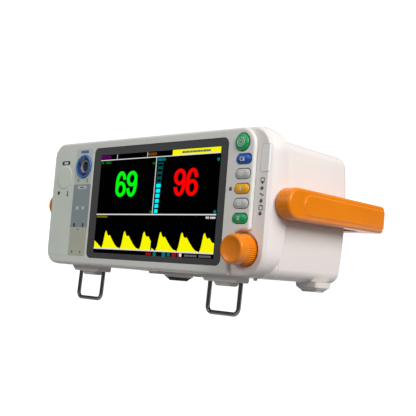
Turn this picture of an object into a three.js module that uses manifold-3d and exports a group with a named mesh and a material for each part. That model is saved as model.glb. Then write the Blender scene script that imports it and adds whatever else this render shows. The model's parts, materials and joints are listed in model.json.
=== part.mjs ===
// Patient monitor with a 7-inch display, a swinging carry handle and two fold-out wire stands.
// Millimetres, +Z up. Every piece is drawn in the case's own frame: X to the right, Y from the front
// plate backwards, Z up from the case's bottom. One group then tilts the case back onto its wire
// stands and rear feet, with the origin on the ground at the middle of the whole object.
import * as THREE from 'three';
import Module from 'manifold-3d';
import { mergeVertices } from 'three/addons/utils/BufferGeometryUtils.js';

const wasm = await Module();
wasm.setup();

// ---- Driving dimensions ----
const GAP = 0.3;
const MERGE_DISTANCE = 1e-4;
const RIGHT_ANGLE = Math.PI / 2;
const PLATE = {
  left: -138.3, right: 122.4, bottom: 0.6, top: 117.4, back: 3,
  leftRadius: 14, rightRadius: 15, innerRadius: 3,
};
const CASE = { halfWidth: 140, height: 118, radius: [16, 20, 20, 16], front: 3.3, wall: 2.5, edge: 3 };
// The collar's right-hand front corner, seen from above: the cheek slopes out to the full width.
const CHEEK = [[134.8, 3.3], [136.9, 5.8], [138.7, 9.6], [139.7, 13.6], [140, 17.5]];
const BOX = {
  halfWidth: 136.5, top: 111.2, back: 111, split: 24.6, radius: 9, wall: 2.6,
  bulge: 0.0014, middle: 54, drop: 1.7,
};
const NECK = { front: 13, step: 9.5, highTop: 114.2, lowTop: 110.5, frontRight: 133.4, backRight: 135.6 };
const WINDOW = { left: -75.8, right: 94.5, bottom: 7.5, top: 109.8, radius: 5.5, front: 0.4, back: 2.6 };
const SCREEN = { left: -65.4, right: 87, bottom: 12.5, top: 103.2 };
const PORTS = { left: -136.2, right: -77.7, bottom: 8.6, top: 110.7, column: -103.6, recess: 0.6, radius: 3 };
const LABEL = { front: -0.1, back: 0.3, lowSplit: 35.5, highSplit: 76.3 };
const SOCKET = {
  x: -90.2, z: 93.6, radius: 11.2, bore: 8.4, insert: 8,
  front: -1.6, floor: 3, back: 12.6, well: 5.4, depth: 6,
};
const BLANK = { x: -119.3, z: 83.9, radius: 11.7, front: -0.7, back: 9, wall: 2 };
const KEYS = {
  x: 111.7, width: 15.2, height: 7.9, front: -0.9, back: 6.1, flange: 1, lip: 0.8, clearance: 0.45,
  names: ['blue', 'grey_upper', 'amber', 'grey_lower', 'green'],
  top: 91.8, pitch: 11.7,
};
const POWER = { x: 109, z: 105.2, radius: 6.9, front: -2, edge: 1.2 };
const KNOB = {
  x: 116, z: 20.7, base: 12.7, cap: 10.6, back: 5.2, shoulder: -4, front: -13, dish: 1.2,
  bore: 3.4, boreEnd: -8, recess: 15, depth: 6.2, boss: 17,
};
const SHAFT = { radius: 3, front: -7, back: 13.2 };
const LEDS = { x: 129.5, radius: 1.25, heights: [68.8, 59, 49.3], front: 2.9, back: 9 };
const ALARM = { left: 127, right: 135.4, bottom: 81.4, top: 103.2, front: 2.9, back: 8.4, radius: 1.6 };
const PIVOT = { y: 20.1, z: 58.6, radius: 2.6, inner: 129, outer: 149 };
const HANDLE = {
  radius: 12.4, inner: 140.4, outer: 153.8, face: 154.6, tail: 11.6,
  gripFront: 124, gripBack: 145.4, faceBack: 146, corner: 8, insideCorner: 5,
  panel: 8.8, panelStart: 25.4, panelTail: 8.4, bevel: 1.2, panelBevel: 0.4,
};
const BAIL = {
  x: 86, half: 17, wire: 1.5, y: 18, z: -2.6, bar: -30.3, lean: 2.5, stub: 6, bend: 5, sides: 8, steps: 38,
};
const FRONT_BOSS = {
  half: 19.8, front: 8.5, back: 24.3, bottom: -4.8, top: 1, slot: 2.1, roof: -0.7, ramp: 4.6,
};
const FRONT_PAD = { offset: 2.4, half: 11, front: 10, back: 23, bottom: -8, draft: 1.5 };
const REAR_FOOT = {
  x: [122.5, -38.5], y: 86.5, half: 9, depth: 8.5, bottom: -7.5, draft: 1.6,
  boss: 11.9, bossDepth: 10.8, bossBottom: -4.4, bossDraft: 0.7,
};
const MOUNT = { half: 34, front: 40, back: 73, bottom: -2.5, screwX: 26, screwY: [49, 67] };

// ---- Solid tools ----
function toSolid(geometry) {
  const bare = geometry.clone();
  bare.deleteAttribute('normal');
  bare.deleteAttribute('uv');
  const merged = mergeVertices(bare, MERGE_DISTANCE);
  const corners = merged.index.array;
  const kept = [];
  for (let i = 0; i < corners.length; i += 3) {
    const [a, b, c] = [corners[i], corners[i + 1], corners[i + 2]];
    if (a !== b && b !== c && c !== a) kept.push(a, b, c);
  }
  return new wasm.Manifold(new wasm.Mesh({
    numProp: 3,
    vertProperties: new Float32Array(merged.attributes.position.array),
    triVerts: new Uint32Array(kept),
  }));
}

function toGeometry(solid) {
  const mesh = solid.getMesh();
  const geometry = new THREE.BufferGeometry();
  geometry.setAttribute('position', new THREE.BufferAttribute(mesh.vertProperties, 3));
  geometry.setIndex(new THREE.BufferAttribute(mesh.triVerts, 1));
  return geometry;
}

const join = (...pieces) => toGeometry(pieces.map(toSolid).reduce((sum, next) => sum.add(next)));
const cut = (base, ...tools) =>
  toGeometry(tools.map(toSolid).reduce((rest, tool) => rest.subtract(tool), toSolid(base)));
const common = (one, other) => toGeometry(toSolid(one).intersect(toSolid(other)));

// ---- Outlines ----
// The radius is one number, or four from the lower left corner anticlockwise.
function roundedRect(left, bottom, right, top, radius) {
  const [a, b, c, d] = Array.isArray(radius) ? radius : Array(4).fill(radius);
  const shape = new THREE.Shape();
  shape.moveTo(left + a, bottom);
  shape.lineTo(right - b, bottom);
  shape.absarc(right - b, bottom + b, b, -RIGHT_ANGLE, 0);
  shape.lineTo(right, top - c);
  shape.absarc(right - c, top - c, c, 0, RIGHT_ANGLE);
  shape.lineTo(left + d, top);
  shape.absarc(left + d, top - d, d, RIGHT_ANGLE, 2 * RIGHT_ANGLE);
  shape.lineTo(left, bottom + a);
  shape.absarc(left + a, bottom + a, a, 2 * RIGHT_ANGLE, 3 * RIGHT_ANGLE);
  return shape;
}

function disc(x, y, radius) {
  const shape = new THREE.Shape();
  shape.absarc(x, y, radius, 0, 4 * RIGHT_ANGLE);
  return shape;
}

const polygon = (points) => new THREE.Shape(points.map(([x, y]) => new THREE.Vector2(x, y)));

// A slot shape with round ends, longer along X or, when it is taller than wide, along Y.
function stadium(x, y, width, height) {
  const radius = Math.min(width, height) / 2;
  const [alongX, alongY] = [width / 2 - radius, height / 2 - radius];
  const start = alongX > 0 ? -RIGHT_ANGLE : 0;
  const shape = new THREE.Shape();
  shape.absarc(x + alongX, y + alongY, radius, start, start + 2 * RIGHT_ANGLE);
  shape.absarc(x - alongX, y - alongY, radius, start + 2 * RIGHT_ANGLE, start + 4 * RIGHT_ANGLE);
  return shape;
}

// ---- Extrusions: "facing" runs along Y, "standing" along Z and "crosswise" along X ----
function extrude(shape, depth, curveSegments, bevel = 0) {
  return new THREE.ExtrudeGeometry(shape, {
    depth: depth - 2 * bevel,
    curveSegments,
    bevelEnabled: bevel > 0,
    bevelThickness: bevel,
    bevelSize: bevel,
    bevelOffset: -bevel,
    bevelSegments: 1,
  }).translate(0, 0, bevel);
}

const facing = (shape, front, back, segments = 2, bevel = 0) =>
  extrude(shape, back - front, segments, bevel).rotateX(RIGHT_ANGLE).translate(0, back, 0);

const standing = (shape, bottom, top, segments = 2, bevel = 0) =>
  extrude(shape, top - bottom, segments, bevel).translate(0, 0, bottom);

function crosswise(shape, left, right, segments = 2, bevel = 0) {
  const turn = new THREE.Matrix4().makeBasis(
    new THREE.Vector3(0, 1, 0),
    new THREE.Vector3(0, 0, 1),
    new THREE.Vector3(1, 0, 0),
  );
  return extrude(shape, right - left, segments, bevel).applyMatrix4(turn).translate(left, 0, 0);
}

const block = (x0, y0, z0, x1, y1, z1) =>
  new THREE.BoxGeometry(x1 - x0, y1 - y0, z1 - z0).translate((x0 + x1) / 2, (y0 + y1) / 2, (z0 + z1) / 2);

const slab = ({ left, right, bottom, top, front, back }) => block(left, front, bottom, right, back, top);

// A turned piece whose axis runs along Y through (x, z). The profile is [radius, y], from the front back.
function turned(profile, x, z, segments = 20) {
  const points = profile.map(([radius, y]) => new THREE.Vector2(radius, y));
  return new THREE.LatheGeometry(points, segments).translate(x, 0, z);
}

const rod = (x, z, radius, front, back, segments = 12) =>
  turned([[0, front], [radius, front], [radius, back], [0, back]], x, z, segments);

// The outline's points, each one once.
function outlinePoints(shape, divisions) {
  const points = shape.getPoints(divisions);
  return points.filter((point, i) => point.distanceTo(points.at(i - 1)) > MERGE_DISTANCE);
}

// A closed skin through rings of equally many points, each running anticlockwise about the way it goes.
function loft(rings) {
  const size = rings[0].length;
  const position = rings.flat(2);
  const index = [];
  const middle = (ring) => [0, 1, 2].map((axis) => ring.reduce((sum, point) => sum + point[axis], 0) / size);
  position.push(...middle(rings[0]), ...middle(rings[rings.length - 1]));
  const front = rings.length * size;
  for (let step = 0; step < size; step += 1) {
    const next = (step + 1) % size;
    for (let ring = 0; ring + 1 < rings.length; ring += 1) {
      const [a, b] = [ring * size + step, ring * size + next];
      index.push(a, b, b + size, a, b + size, a + size);
    }
    index.push(front, next, step);
    const last = (rings.length - 1) * size;
    index.push(front + 1, last + step, last + next);
  }
  const geometry = new THREE.BufferGeometry();
  geometry.setAttribute('position', new THREE.Float32BufferAttribute(position, 3));
  geometry.setIndex(index);
  return geometry;
}

// ---- The rear case's cross-section at a depth: a rounded rectangle with bulging sides ----
// Tall sides get points in between, so that they can bulge.
function withSidePoints(points) {
  return points.flatMap((point, index) => {
    const next = points[(index + 1) % points.length];
    const shares = Math.abs(next.y - point.y) > 20 ? [0, 0.25, 0.5, 0.75] : [0];
    return shares.map((share) => point.clone().lerp(next, share));
  });
}

function boxRing(y, inset) {
  const top = BOX.top - inset - BOX.drop * Math.max(0, (y - BOX.split) / (BOX.back - BOX.split));
  const radius = Math.max(BOX.radius - inset, 4);
  const outline = roundedRect(-BOX.halfWidth + inset, inset, BOX.halfWidth - inset, top, radius);
  return withSidePoints(outlinePoints(outline, 2)).map((point) => {
    const narrowing = BOX.bulge * (point.y - BOX.middle) ** 2;
    return [point.x - Math.sign(point.x) * narrowing, y, point.y];
  }).reverse();
}

// ---- Case ----
function plateOutline() {
  const { left, right, bottom, top, leftRadius, rightRadius, innerRadius } = PLATE;
  const shelf = KNOB.z + KNOB.recess - 0.2;
  const [start, end] = [200, 80].map(THREE.MathUtils.degToRad);
  const shape = new THREE.Shape();
  shape.moveTo(left + leftRadius, bottom);
  shape.lineTo(KNOB.x - 12.5, bottom);
  shape.absarc(KNOB.x, KNOB.z, KNOB.recess, start, end, true);
  shape.lineTo(right - innerRadius, shelf);
  shape.absarc(right - innerRadius, shelf + innerRadius, innerRadius, -RIGHT_ANGLE, 0);
  shape.lineTo(right, top - rightRadius);
  shape.absarc(right - rightRadius, top - rightRadius, rightRadius, 0, RIGHT_ANGLE);
  shape.lineTo(left + leftRadius, top);
  shape.absarc(left + leftRadius, top - leftRadius, leftRadius, RIGHT_ANGLE, 2 * RIGHT_ANGLE);
  shape.lineTo(left, bottom + leftRadius);
  shape.absarc(left + leftRadius, bottom + leftRadius, leftRadius, 2 * RIGHT_ANGLE, 3 * RIGHT_ANGLE);
  return shape;
}

const keyHeight = (index) => KEYS.top - KEYS.pitch * index;
const ALARM_KEY = 2;
const WARNING_LED = { x: 100.1, z: keyHeight(ALARM_KEY), radius: 1.4, front: -0.3, back: 6.5 };

function keyHoles(front, back) {
  const spread = 2 * KEYS.clearance;
  const holes = KEYS.names.map((_, index) =>
    facing(stadium(KEYS.x, keyHeight(index), KEYS.width + spread, KEYS.height + spread), front, back, 3));
  holes.push(rod(POWER.x, POWER.z, POWER.radius + KEYS.clearance, front, back, 20));
  holes.push(rod(WARNING_LED.x, WARNING_LED.z, WARNING_LED.radius + GAP, front, back, 12));
  return holes;
}

function portHoles(front, back) {
  return [
    rod(SOCKET.x, SOCKET.z, SOCKET.radius + GAP, front, back, 20),
    rod(BLANK.x, BLANK.z, BLANK.radius + GAP, front, back, 20),
  ];
}

function frontPlate() {
  const outline = plateOutline();
  const { left, bottom, right, top, radius } = WINDOW;
  outline.holes.push(roundedRect(left - GAP, bottom - GAP, right + GAP, top + GAP, radius));
  const recess = roundedRect(
    PORTS.left - GAP, PORTS.bottom - GAP, PORTS.right + GAP, PORTS.top + GAP, PORTS.radius);
  return cut(
    facing(outline, 0, PLATE.back, 3, 0.8),
    facing(recess, -1, PORTS.recess),
    ...keyHoles(-1, PLATE.back + 1),
    ...portHoles(-1, PLATE.back + 1),
  );
}

// The collar's profile seen from the side: its top falls away backwards and its rear edge bows.
function collarProfile() {
  const shape = new THREE.Shape();
  shape.moveTo(CASE.front, 0);
  shape.lineTo(15, 0);
  shape.bezierCurveTo(23, 20, 27, 55, 19.6, 101);
  shape.lineTo(19.3, 111);
  shape.quadraticCurveTo(18, 115.8, 9, CASE.height);
  shape.lineTo(CASE.front, CASE.height);
  shape.closePath();
  return shape;
}

function standBoss(side) {
  const x = side * BAIL.x;
  const { half, front, back, bottom, top, slot, roof, ramp } = FRONT_BOSS;
  const outline = polygon([
    [x - half, top], [x - half, -0.3], [x - half + ramp, bottom],
    [x + half - 0.9, bottom], [x + half, bottom + 1.8], [x + half, top],
  ]);
  const body = facing(outline, front, back);
  const legs = [-1, 1].map((end) => {
    const leg = x + end * BAIL.half;
    return block(leg - slot, BAIL.y - slot, bottom - 1, leg + slot, back + 1, roof);
  });
  const bore = crosswise(disc(BAIL.y, BAIL.z, BAIL.wire + GAP), x - BAIL.half, x + BAIL.half, 3);
  return { body, cuts: [...legs, bore] };
}

// What the sloping cheek leaves, grown outwards and forwards by a little where asked.
function cheekPlan(grow, width) {
  const slope = CHEEK.map(([x, y]) => [x + grow, y - grow]);
  const plan = polygon([[-width, CASE.front - grow], ...slope, [CHEEK.at(-1)[0] + grow, 40], [-width, 40]]);
  return standing(plan, -1, CASE.height + 1);
}

function frontHousing() {
  const { halfWidth, height, radius, front, wall, edge } = CASE;
  const outline = roundedRect(-halfWidth, 0, halfWidth, height, radius);
  const rounded = common(facing(outline, front, 34, 3, edge), crosswise(collarProfile(), -150, 150, 4));
  const collar = common(rounded, cheekPlan(0, halfWidth + 1));
  const neck = loft([boxRing(NECK.front, 0), boxRing(BOX.split, 0)]);
  const bosses = [standBoss(-1), standBoss(1)];
  const hub = rod(KNOB.x, KNOB.z, KNOB.boss, front + 1, front + wall + 2, 20);
  const shell = join(collar, neck, ...bosses.map((boss) => boss.body));
  const pocket = (top, right) => roundedRect(
    -halfWidth + wall, wall, right, top, radius.map((corner) => corner - wall));
  const hollow = cut(
    shell,
    facing(pocket(NECK.highTop, NECK.frontRight), front + wall, NECK.step),
    facing(pocket(NECK.lowTop, NECK.backRight), NECK.step - 1, NECK.front + 2),
    loft([boxRing(NECK.front + 1, BOX.wall), boxRing(BOX.split + 1, BOX.wall)]),
  );
  const { left, right, bottom, top } = SCREEN;
  const opening = roundedRect(left - 3, bottom - 2, right + 3, top + 3, 2);
  const axle = (side) => crosswise(
    disc(PIVOT.y, PIVOT.z, PIVOT.radius + GAP),
    side > 0 ? 120 : -150,
    side > 0 ? 150 : -120,
    4,
  );
  return cut(
    join(hollow, common(hub, facing(outline, front, 30, 3))),
    facing(opening, 0, front + wall + 1),
    ...keyHoles(0, front + wall + 1),
    ...portHoles(0, front + wall + 1),
    rod(KNOB.x, KNOB.z, KNOB.recess - 0.6, 0, KNOB.depth, 24),
    rod(KNOB.x, KNOB.z, SHAFT.radius + GAP, 0, 20, 12),
    ...LEDS.heights.map((z) => rod(LEDS.x, z, LEDS.radius + GAP, 0, front + wall + 1, 10)),
    facing(lensOutline(GAP), 0, ALARM.back + GAP),
    axle(-1),
    axle(1),
    ...bosses.flatMap((boss) => boss.cuts),
  );
}

// ---- Rear case ----
const REAR_SCREWS = [[-121, 14], [121, 14], [-119, 97], [119, 97]];
const INLET = { x: 84, z: 28, width: 27.5, height: 20, depth: 18 };
const NETWORK = { x: 30, z: 22, width: 16, height: 13.4, depth: 16 };
const USB = { x: 4, z: 22, width: 13.2, height: 5.8, depth: 14 };
const STUD = { x: 52, z: 20, radius: 3 };
const DOOR = { left: -120, right: -54, front: 36, back: 99, thick: 2 };
const VENTS = { count: 9, left: -100, pitch: 9, width: 3.2, bottom: 42, top: 80 };

const port = ({ x, z, width, height }, grow = 0) => roundedRect(
  x - width / 2 - grow, z - height / 2 - grow, x + width / 2 + grow, z + height / 2 + grow, 1.5);

function rearHousing() {
  const { split, back, wall } = BOX;
  const start = split + GAP;
  const roundings = [[back - 7, 0], [back - 3.2, 1], [back - 1, 3], [back, 6.5]];
  const outer = loft([boxRing(start, 0), ...roundings.map(([y, inset]) => boxRing(y, inset))]);
  const inner = loft([boxRing(start - 1, wall), boxRing(back - wall, wall + 2)]);
  const bosses = REAR_FOOT.x.map((x) => taperedBlock(
    x, REAR_FOOT.y, REAR_FOOT.boss, REAR_FOOT.bossDepth, REAR_FOOT.bossBottom, 1, REAR_FOOT.bossDraft));
  const screwBosses = REAR_SCREWS.map(([x, z]) => rod(x, z, 5, 60, back - 2, 12));
  const slots = Array.from({ length: VENTS.count }, (_, index) => {
    const x = VENTS.left + VENTS.pitch * index;
    const height = VENTS.top - VENTS.bottom;
    return facing(stadium(x, VENTS.bottom + height / 2, VENTS.width, height), back - 8, back + 2, 3);
  });
  return cut(
    join(cut(outer, inner), ...bosses, ...screwBosses),
    ...slots,
    ...REAR_SCREWS.map(([x, z]) => rod(x, z, 3.6, back - 8, back + 1, 12)),
    ...REAR_SCREWS.map(([x, z]) => rod(x, z, 1.9, 50, back, 10)),
    ...[INLET, NETWORK, USB].map((hole) => facing(port(hole, GAP), back - 10, back + 1, 2)),
    rod(STUD.x, STUD.z, STUD.radius + GAP, back - 10, back + 1, 12),
    block(DOOR.left - GAP, DOOR.front - GAP, -1, DOOR.right + GAP, DOOR.back + GAP, 6),
    ...[-1, 1].flatMap((side) => MOUNT.screwY.map((y) =>
      standing(disc(side * MOUNT.screwX, y, 1.9), -1, 4, 3))),
  );
}

// A block whose sides draw in towards its bottom.
function taperedBlock(x, y, halfX, halfY, bottom, top, draft) {
  const ring = (z, inset) => outlinePoints(roundedRect(
    x - halfX + inset, y - halfY + inset, x + halfX - inset, y + halfY - inset, 3 - inset / 3,
  ), 1).map((point) => [point.x, point.y, z]);
  return loft([ring(bottom, draft), ring(top, 0)]);
}

function rearScrew([x, z]) {
  const seat = BOX.back - 8;
  return turned([[0, seat - 10], [1.5, seat - 10], [1.5, seat + GAP], [3.1, seat + GAP], [3.1, seat + 2.6],
    [0, seat + 2.6]], x, z, 12);
}

// ---- Connectors at the back ----
function mainsInlet() {
  const { x, z, width, height, depth } = INLET;
  const flange = roundedRect(x - width / 2 - 3, z - height / 2 - 3, x + width / 2 + 3, z + height / 2 + 3, 2);
  const shroud = facing(port(INLET), BOX.back - depth, BOX.back + 1, 2);
  const hollow = facing(port(INLET, -2), BOX.back - depth + 3, BOX.back + 5, 1);
  const blades = [-7, 0, 7].map((offset, index) => {
    const blade = z + (index === 1 ? 4 : -3);
    return block(x + offset - 1, BOX.back - depth + 2, blade - 2, x + offset + 1, BOX.back - 3, blade + 2);
  });
  const front = facing(flange, BOX.back + GAP, BOX.back + 2, 2);
  return join(cut(join(shroud, front), hollow), ...blades);
}

function rearSocket(socket, wall, tongue) {
  const { x, z, width, depth } = socket;
  const shell = facing(port(socket), BOX.back - depth, BOX.back + 0.8, 2);
  const hollow = facing(port(socket, -wall), BOX.back - depth + 2, BOX.back + 5, 2);
  const contact = block(x - width / 2 + 3, BOX.back - depth + 1, z + tongue, x + width / 2 - 3,
    BOX.back - 2, z + tongue + 1.5);
  return join(cut(shell, hollow), contact);
}

function earthStud() {
  const { x, z, radius } = STUD;
  const back = BOX.back;
  return turned([[0, back - 12], [radius, back - 12], [radius, back + GAP], [4.6, back + GAP],
    [4.6, back + 2.4], [2.6, back + 2.4], [2.6, back + 8], [3, back + 8.6], [3, back + 11],
    [2.2, back + 12], [0, back + 12]], x, z, 14);
}

// ---- Front connectors, labels and indicators ----
function socketShell() {
  const { x, z, radius, bore, front, floor, back } = SOCKET;
  return turned([[bore, floor], [bore, front + 0.6], [bore + 0.6, front], [radius - 0.8, front],
    [radius, front + 0.8], [radius, back], [bore, back], [bore, floor]], x, z);
}

function socketInsert() {
  const { x, z, insert, floor, back, well, depth } = SOCKET;
  return cut(
    rod(x, z, insert, floor, back, 20),
    rod(x, z, well, floor - 1, floor + depth, 16),
    block(x - 1.4, floor - 1, z + well - 1, x + 1.4, floor + depth, z + well + 1.4),
  );
}

function blankCover() {
  const { x, z, radius, front, back, wall } = BLANK;
  return turned([[0, front], [radius - 1, front], [radius, front + 1], [radius, back], [radius - wall, back],
    [radius - wall, front + wall], [0, front + wall]], x, z);
}

function portLabel() {
  const outline = roundedRect(PORTS.left, PORTS.bottom, PORTS.column, PORTS.top, PORTS.radius);
  return cut(facing(outline, LABEL.front, LABEL.back), rod(BLANK.x, BLANK.z, BLANK.radius + GAP, -1, 1, 20));
}

function columnLabel(bottom, top, hole) {
  const label = facing(
    roundedRect(PORTS.column + GAP, bottom, PORTS.right, top, PORTS.radius), LABEL.front, LABEL.back);
  return hole ? cut(label, rod(SOCKET.x, SOCKET.z, SOCKET.radius + GAP, -1, 1, 20)) : label;
}

const lensOutline = (grow = 0) => roundedRect(
  ALARM.left - grow, ALARM.bottom - grow, ALARM.right + grow, ALARM.top + grow, ALARM.radius);

const alarmLens = () => common(
  facing(lensOutline(), ALARM.front, ALARM.back, 2, 0.5), cheekPlan(CASE.front - ALARM.front, 0));

function ledRod({ x, radius, front, back }, z) {
  const dome = [[0, front], [radius * 0.7, front + 0.2], [radius, front + 0.8]];
  return turned([...dome, [radius, back], [0, back]], x, z, 12);
}

// ---- Keys, encoder and knob ----
function key(index) {
  const { x, width, height, front, back, flange, lip } = KEYS;
  const z = keyHeight(index);
  const cap = facing(stadium(x, z, width, height), front, back + 0.2, 3, 0.6);
  return join(cap, facing(stadium(x, z, width + 2 * lip, height + 2 * lip), back, back + flange, 3));
}

function powerKey() {
  const { radius, x, z, front, edge } = POWER;
  const { back, flange, lip } = KEYS;
  return turned([
    [0, front], [radius - edge, front], [radius, front + edge], [radius, back],
    [radius + lip, back], [radius + lip, back + flange], [0, back + flange],
  ], x, z);
}

function knob() {
  const { x, z, base, cap, back, shoulder, front, dish, bore, boreEnd } = KNOB;
  return turned([
    [0, front + dish], [cap - 3.4, front + dish], [cap - 2, front], [cap - 0.8, front + 0.4],
    [cap, front + 1.6], [base - 0.9, shoulder], [base, shoulder + 0.8], [base, back],
    [bore, back], [bore, boreEnd], [0, boreEnd],
  ], x, z, 24);
}

// ---- Handle ----
function handleSide(radius, front, tail, back) {
  const { z } = PIVOT;
  const centre = front + radius;
  const shape = new THREE.Shape();
  shape.moveTo(centre, z - radius);
  shape.lineTo(back + 5, z - tail);
  shape.lineTo(back + 5, z + tail);
  shape.lineTo(centre, z + radius);
  shape.absarc(centre, z, radius, RIGHT_ANGLE, 3 * RIGHT_ANGLE);
  return shape;
}

function handlePlan(outer, back, corner, inner, insideBack, insideCorner) {
  const turn = { x: inner - insideCorner, y: insideBack - insideCorner };
  const shape = new THREE.Shape();
  shape.moveTo(-outer, 0);
  shape.lineTo(-inner, 0);
  shape.lineTo(-inner, turn.y);
  shape.absarc(-turn.x, turn.y, insideCorner, 2 * RIGHT_ANGLE, RIGHT_ANGLE, true);
  shape.lineTo(turn.x, insideBack);
  shape.absarc(turn.x, turn.y, insideCorner, RIGHT_ANGLE, 0, true);
  shape.lineTo(inner, 0);
  shape.lineTo(outer, 0);
  shape.lineTo(outer, back - corner);
  shape.absarc(outer - corner, back - corner, corner, 0, RIGHT_ANGLE);
  shape.lineTo(-outer + corner, back);
  shape.absarc(-outer + corner, back - corner, corner, RIGHT_ANGLE, 2 * RIGHT_ANGLE);
  shape.closePath();
  return shape;
}

function carryHandle() {
  const { radius, inner, outer, face, tail, gripFront, gripBack, faceBack, corner, insideCorner } = HANDLE;
  const { panel, panelStart, panelTail, bevel, panelBevel } = HANDLE;
  const { y, z } = PIVOT;
  const plan = handlePlan(outer, gripBack, corner, inner, gripFront, insideCorner);
  const base = common(
    standing(plan, z - radius, z + radius, 3, bevel),
    crosswise(handleSide(radius, y - radius, tail, gripBack), -160, 160, 5),
  );
  const facePlan = handlePlan(face, faceBack, corner + 0.7, outer - 1, gripBack - 1, corner - 1);
  const facePanel = common(
    standing(facePlan, z - panel, z + panel, 3, panelBevel),
    crosswise(handleSide(panel, panelStart, panelTail, faceBack), -160, 160, 5),
  );
  const sockets = [-1, 1].map((side) => crosswise(
    disc(y, z, PIVOT.radius + GAP),
    side > 0 ? inner - 1 : -PIVOT.outer - GAP,
    side > 0 ? PIVOT.outer + GAP : 1 - inner,
    4,
  ));
  return cut(join(base, facePanel), ...sockets);
}

function pivotPin(side) {
  const { y, z, radius, inner, outer } = PIVOT;
  const pin = crosswise(disc(y, z, radius), side > 0 ? inner : -outer, side > 0 ? outer : -inner, 4);
  const headEnd = side > 0 ? inner - 2.5 : -inner;
  const head = crosswise(disc(y, z, 4), headEnd, headEnd + 2.5, 4);
  return join(pin, head);
}

// ---- Wire stands, pads and feet ----
function wireStand(side) {
  const { x, half, wire, y, z, bar, lean, stub, bend, sides, steps } = BAIL;
  const drop = z - bar;
  const slope = Math.tan(THREE.MathUtils.degToRad(lean));
  const at = (across, down) => new THREE.Vector3(side * x + across, y - down * slope, z - down);
  const path = new THREE.CurvePath();
  const small = 2.2;
  const corners = [
    [at(-half + stub, 0), null, 0],
    [at(-half, 0), small],
    [at(-half, drop), bend],
    [at(half, drop), bend],
    [at(half, 0), small],
    [at(half - stub, 0), null, 0],
  ];
  let from = corners[0][0];
  for (let i = 1; i + 1 < corners.length; i += 1) {
    const [point, radius] = corners[i];
    const enter = point.clone().lerp(corners[i - 1][0], radius / point.distanceTo(corners[i - 1][0]));
    const leave = point.clone().lerp(corners[i + 1][0], radius / point.distanceTo(corners[i + 1][0]));
    path.add(new THREE.LineCurve3(from, enter));
    path.add(new THREE.QuadraticBezierCurve3(enter, point, leave));
    from = leave;
  }
  path.add(new THREE.LineCurve3(from, corners[corners.length - 1][0]));
  const section = new THREE.Shape();
  section.absarc(0, 0, wire, 0, 4 * RIGHT_ANGLE);
  return new THREE.ExtrudeGeometry(section, { extrudePath: path, steps, curveSegments: sides / 2 });
}

function frontPad(side) {
  const { offset, half, front, back, bottom, draft } = FRONT_PAD;
  const depth = (back - front) / 2;
  return taperedBlock(
    side * BAIL.x + offset, front + depth, half, depth, bottom, FRONT_BOSS.bottom - GAP, draft);
}

function rearFoot(x) {
  const { y, half, depth, bottom, bossBottom, draft } = REAR_FOOT;
  return taperedBlock(x, y, half, depth, bottom, bossBottom - GAP, draft);
}

// ---- Mounting plate under the case ----
function mountPlate() {
  const { half, front, back, bottom, screwX, screwY } = MOUNT;
  const holes = [-1, 1].flatMap((side) => screwY.map((y) =>
    standing(disc(side * screwX, y, 1.9), bottom - 1, 1, 4)));
  const seats = [-1, 1].flatMap((side) => screwY.map((y) =>
    standing(disc(side * screwX, y, 3.6), bottom - 1, bottom + 1.2, 4)));
  return cut(standing(roundedRect(-half, front, half, back, 5), bottom, -GAP, 4), ...holes, ...seats);
}

function mountScrew(x, y) {
  const { bottom } = MOUNT;
  const profile = [[0, bottom], [3.2, bottom], [3.2, bottom + 0.9], [1.5, bottom + 0.9], [1.5, 6], [0, 6]];
  return turned(profile, 0, 0, 12).rotateX(RIGHT_ANGLE).translate(x, y, 0);
}

// ---- Pieces inside the case ----
const LCD = { left: -70.4, right: 91, bottom: 9, top: 106.2, front: 6.4, back: 10.6 };
const LCD_FRAME = { side: 7, end: 5, sideRim: 10, endRim: 8, front: 11, back: 12.2 };
const MAIN_BOARD = { left: -66, right: 88, bottom: 10, top: 100, front: 15.5, back: 17.1 };
const CHIPS = { back: 19.5, places: [[-40, 40, 14], [0, 60, 18], [45, 34, 12], [60, 76, 9]] };
const POWER_BOARD = { left: 6, right: 112, bottom: 46, top: 47.6, front: 32, back: 82 };
const POWER_PARTS = [
  { left: 12, right: 40, bottom: 47, top: 66, front: 38, back: 76 },
  { left: 48, right: 78, bottom: 47, top: 74, front: 40, back: 74 },
  { left: 86, right: 106, bottom: 47, top: 62, front: 40, back: 72 },
];
const BATTERY = { left: -114, right: -53, bottom: 5, top: 27, front: 39, back: 96, radius: 3 };
const SENSOR_BOARD = { left: -128, right: -70, bottom: 32, top: 94, front: 34, back: 35.6 };
const SENSOR_SHIELD = { left: -118, right: -86, bottom: 44, top: 80, front: 35, back: 41 };
const SPEAKER = {
  x: -64, z: 59, back: 106, depth: 22, magnet: 14, magnetDepth: 12,
  cone: 24, rim: 21, rimDepth: 3, dish: 10, dishDepth: 7,
};
const MEMBRANE = { left: 101.5, right: 121.5, bottom: 37, top: 109.5, front: 8.6, back: 9.8 };
const KEY_BOARD = { left: 101, right: 122, bottom: 36, top: 109.5, front: 10.1, back: 11.7 };
const ALARM_BOARD = { left: 126, right: 132.8, bottom: 82, top: 101, front: 9.2, back: 10.8 };
const ENCODER = { half: 6.5, front: 8.2, back: 15 };

function lcdFrame() {
  const { left, right, bottom, top } = SCREEN;
  const { side, end, sideRim, endRim, front, back } = LCD_FRAME;
  const outline = roundedRect(left - side, bottom - end, right + side, top + end, 2);
  outline.holes.push(roundedRect(left + sideRim, bottom + endRim, right - sideRim, top - endRim, 4));
  return facing(outline, front, back, 3);
}

function mainBoard() {
  const chips = CHIPS.places.map(([x, z, half]) =>
    block(x - half, MAIN_BOARD.back - 0.6, z - half, x + half, CHIPS.back, z + half));
  return join(slab(MAIN_BOARD), ...chips);
}

const powerSupply = () => join(slab(POWER_BOARD), ...POWER_PARTS.map(slab));

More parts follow.
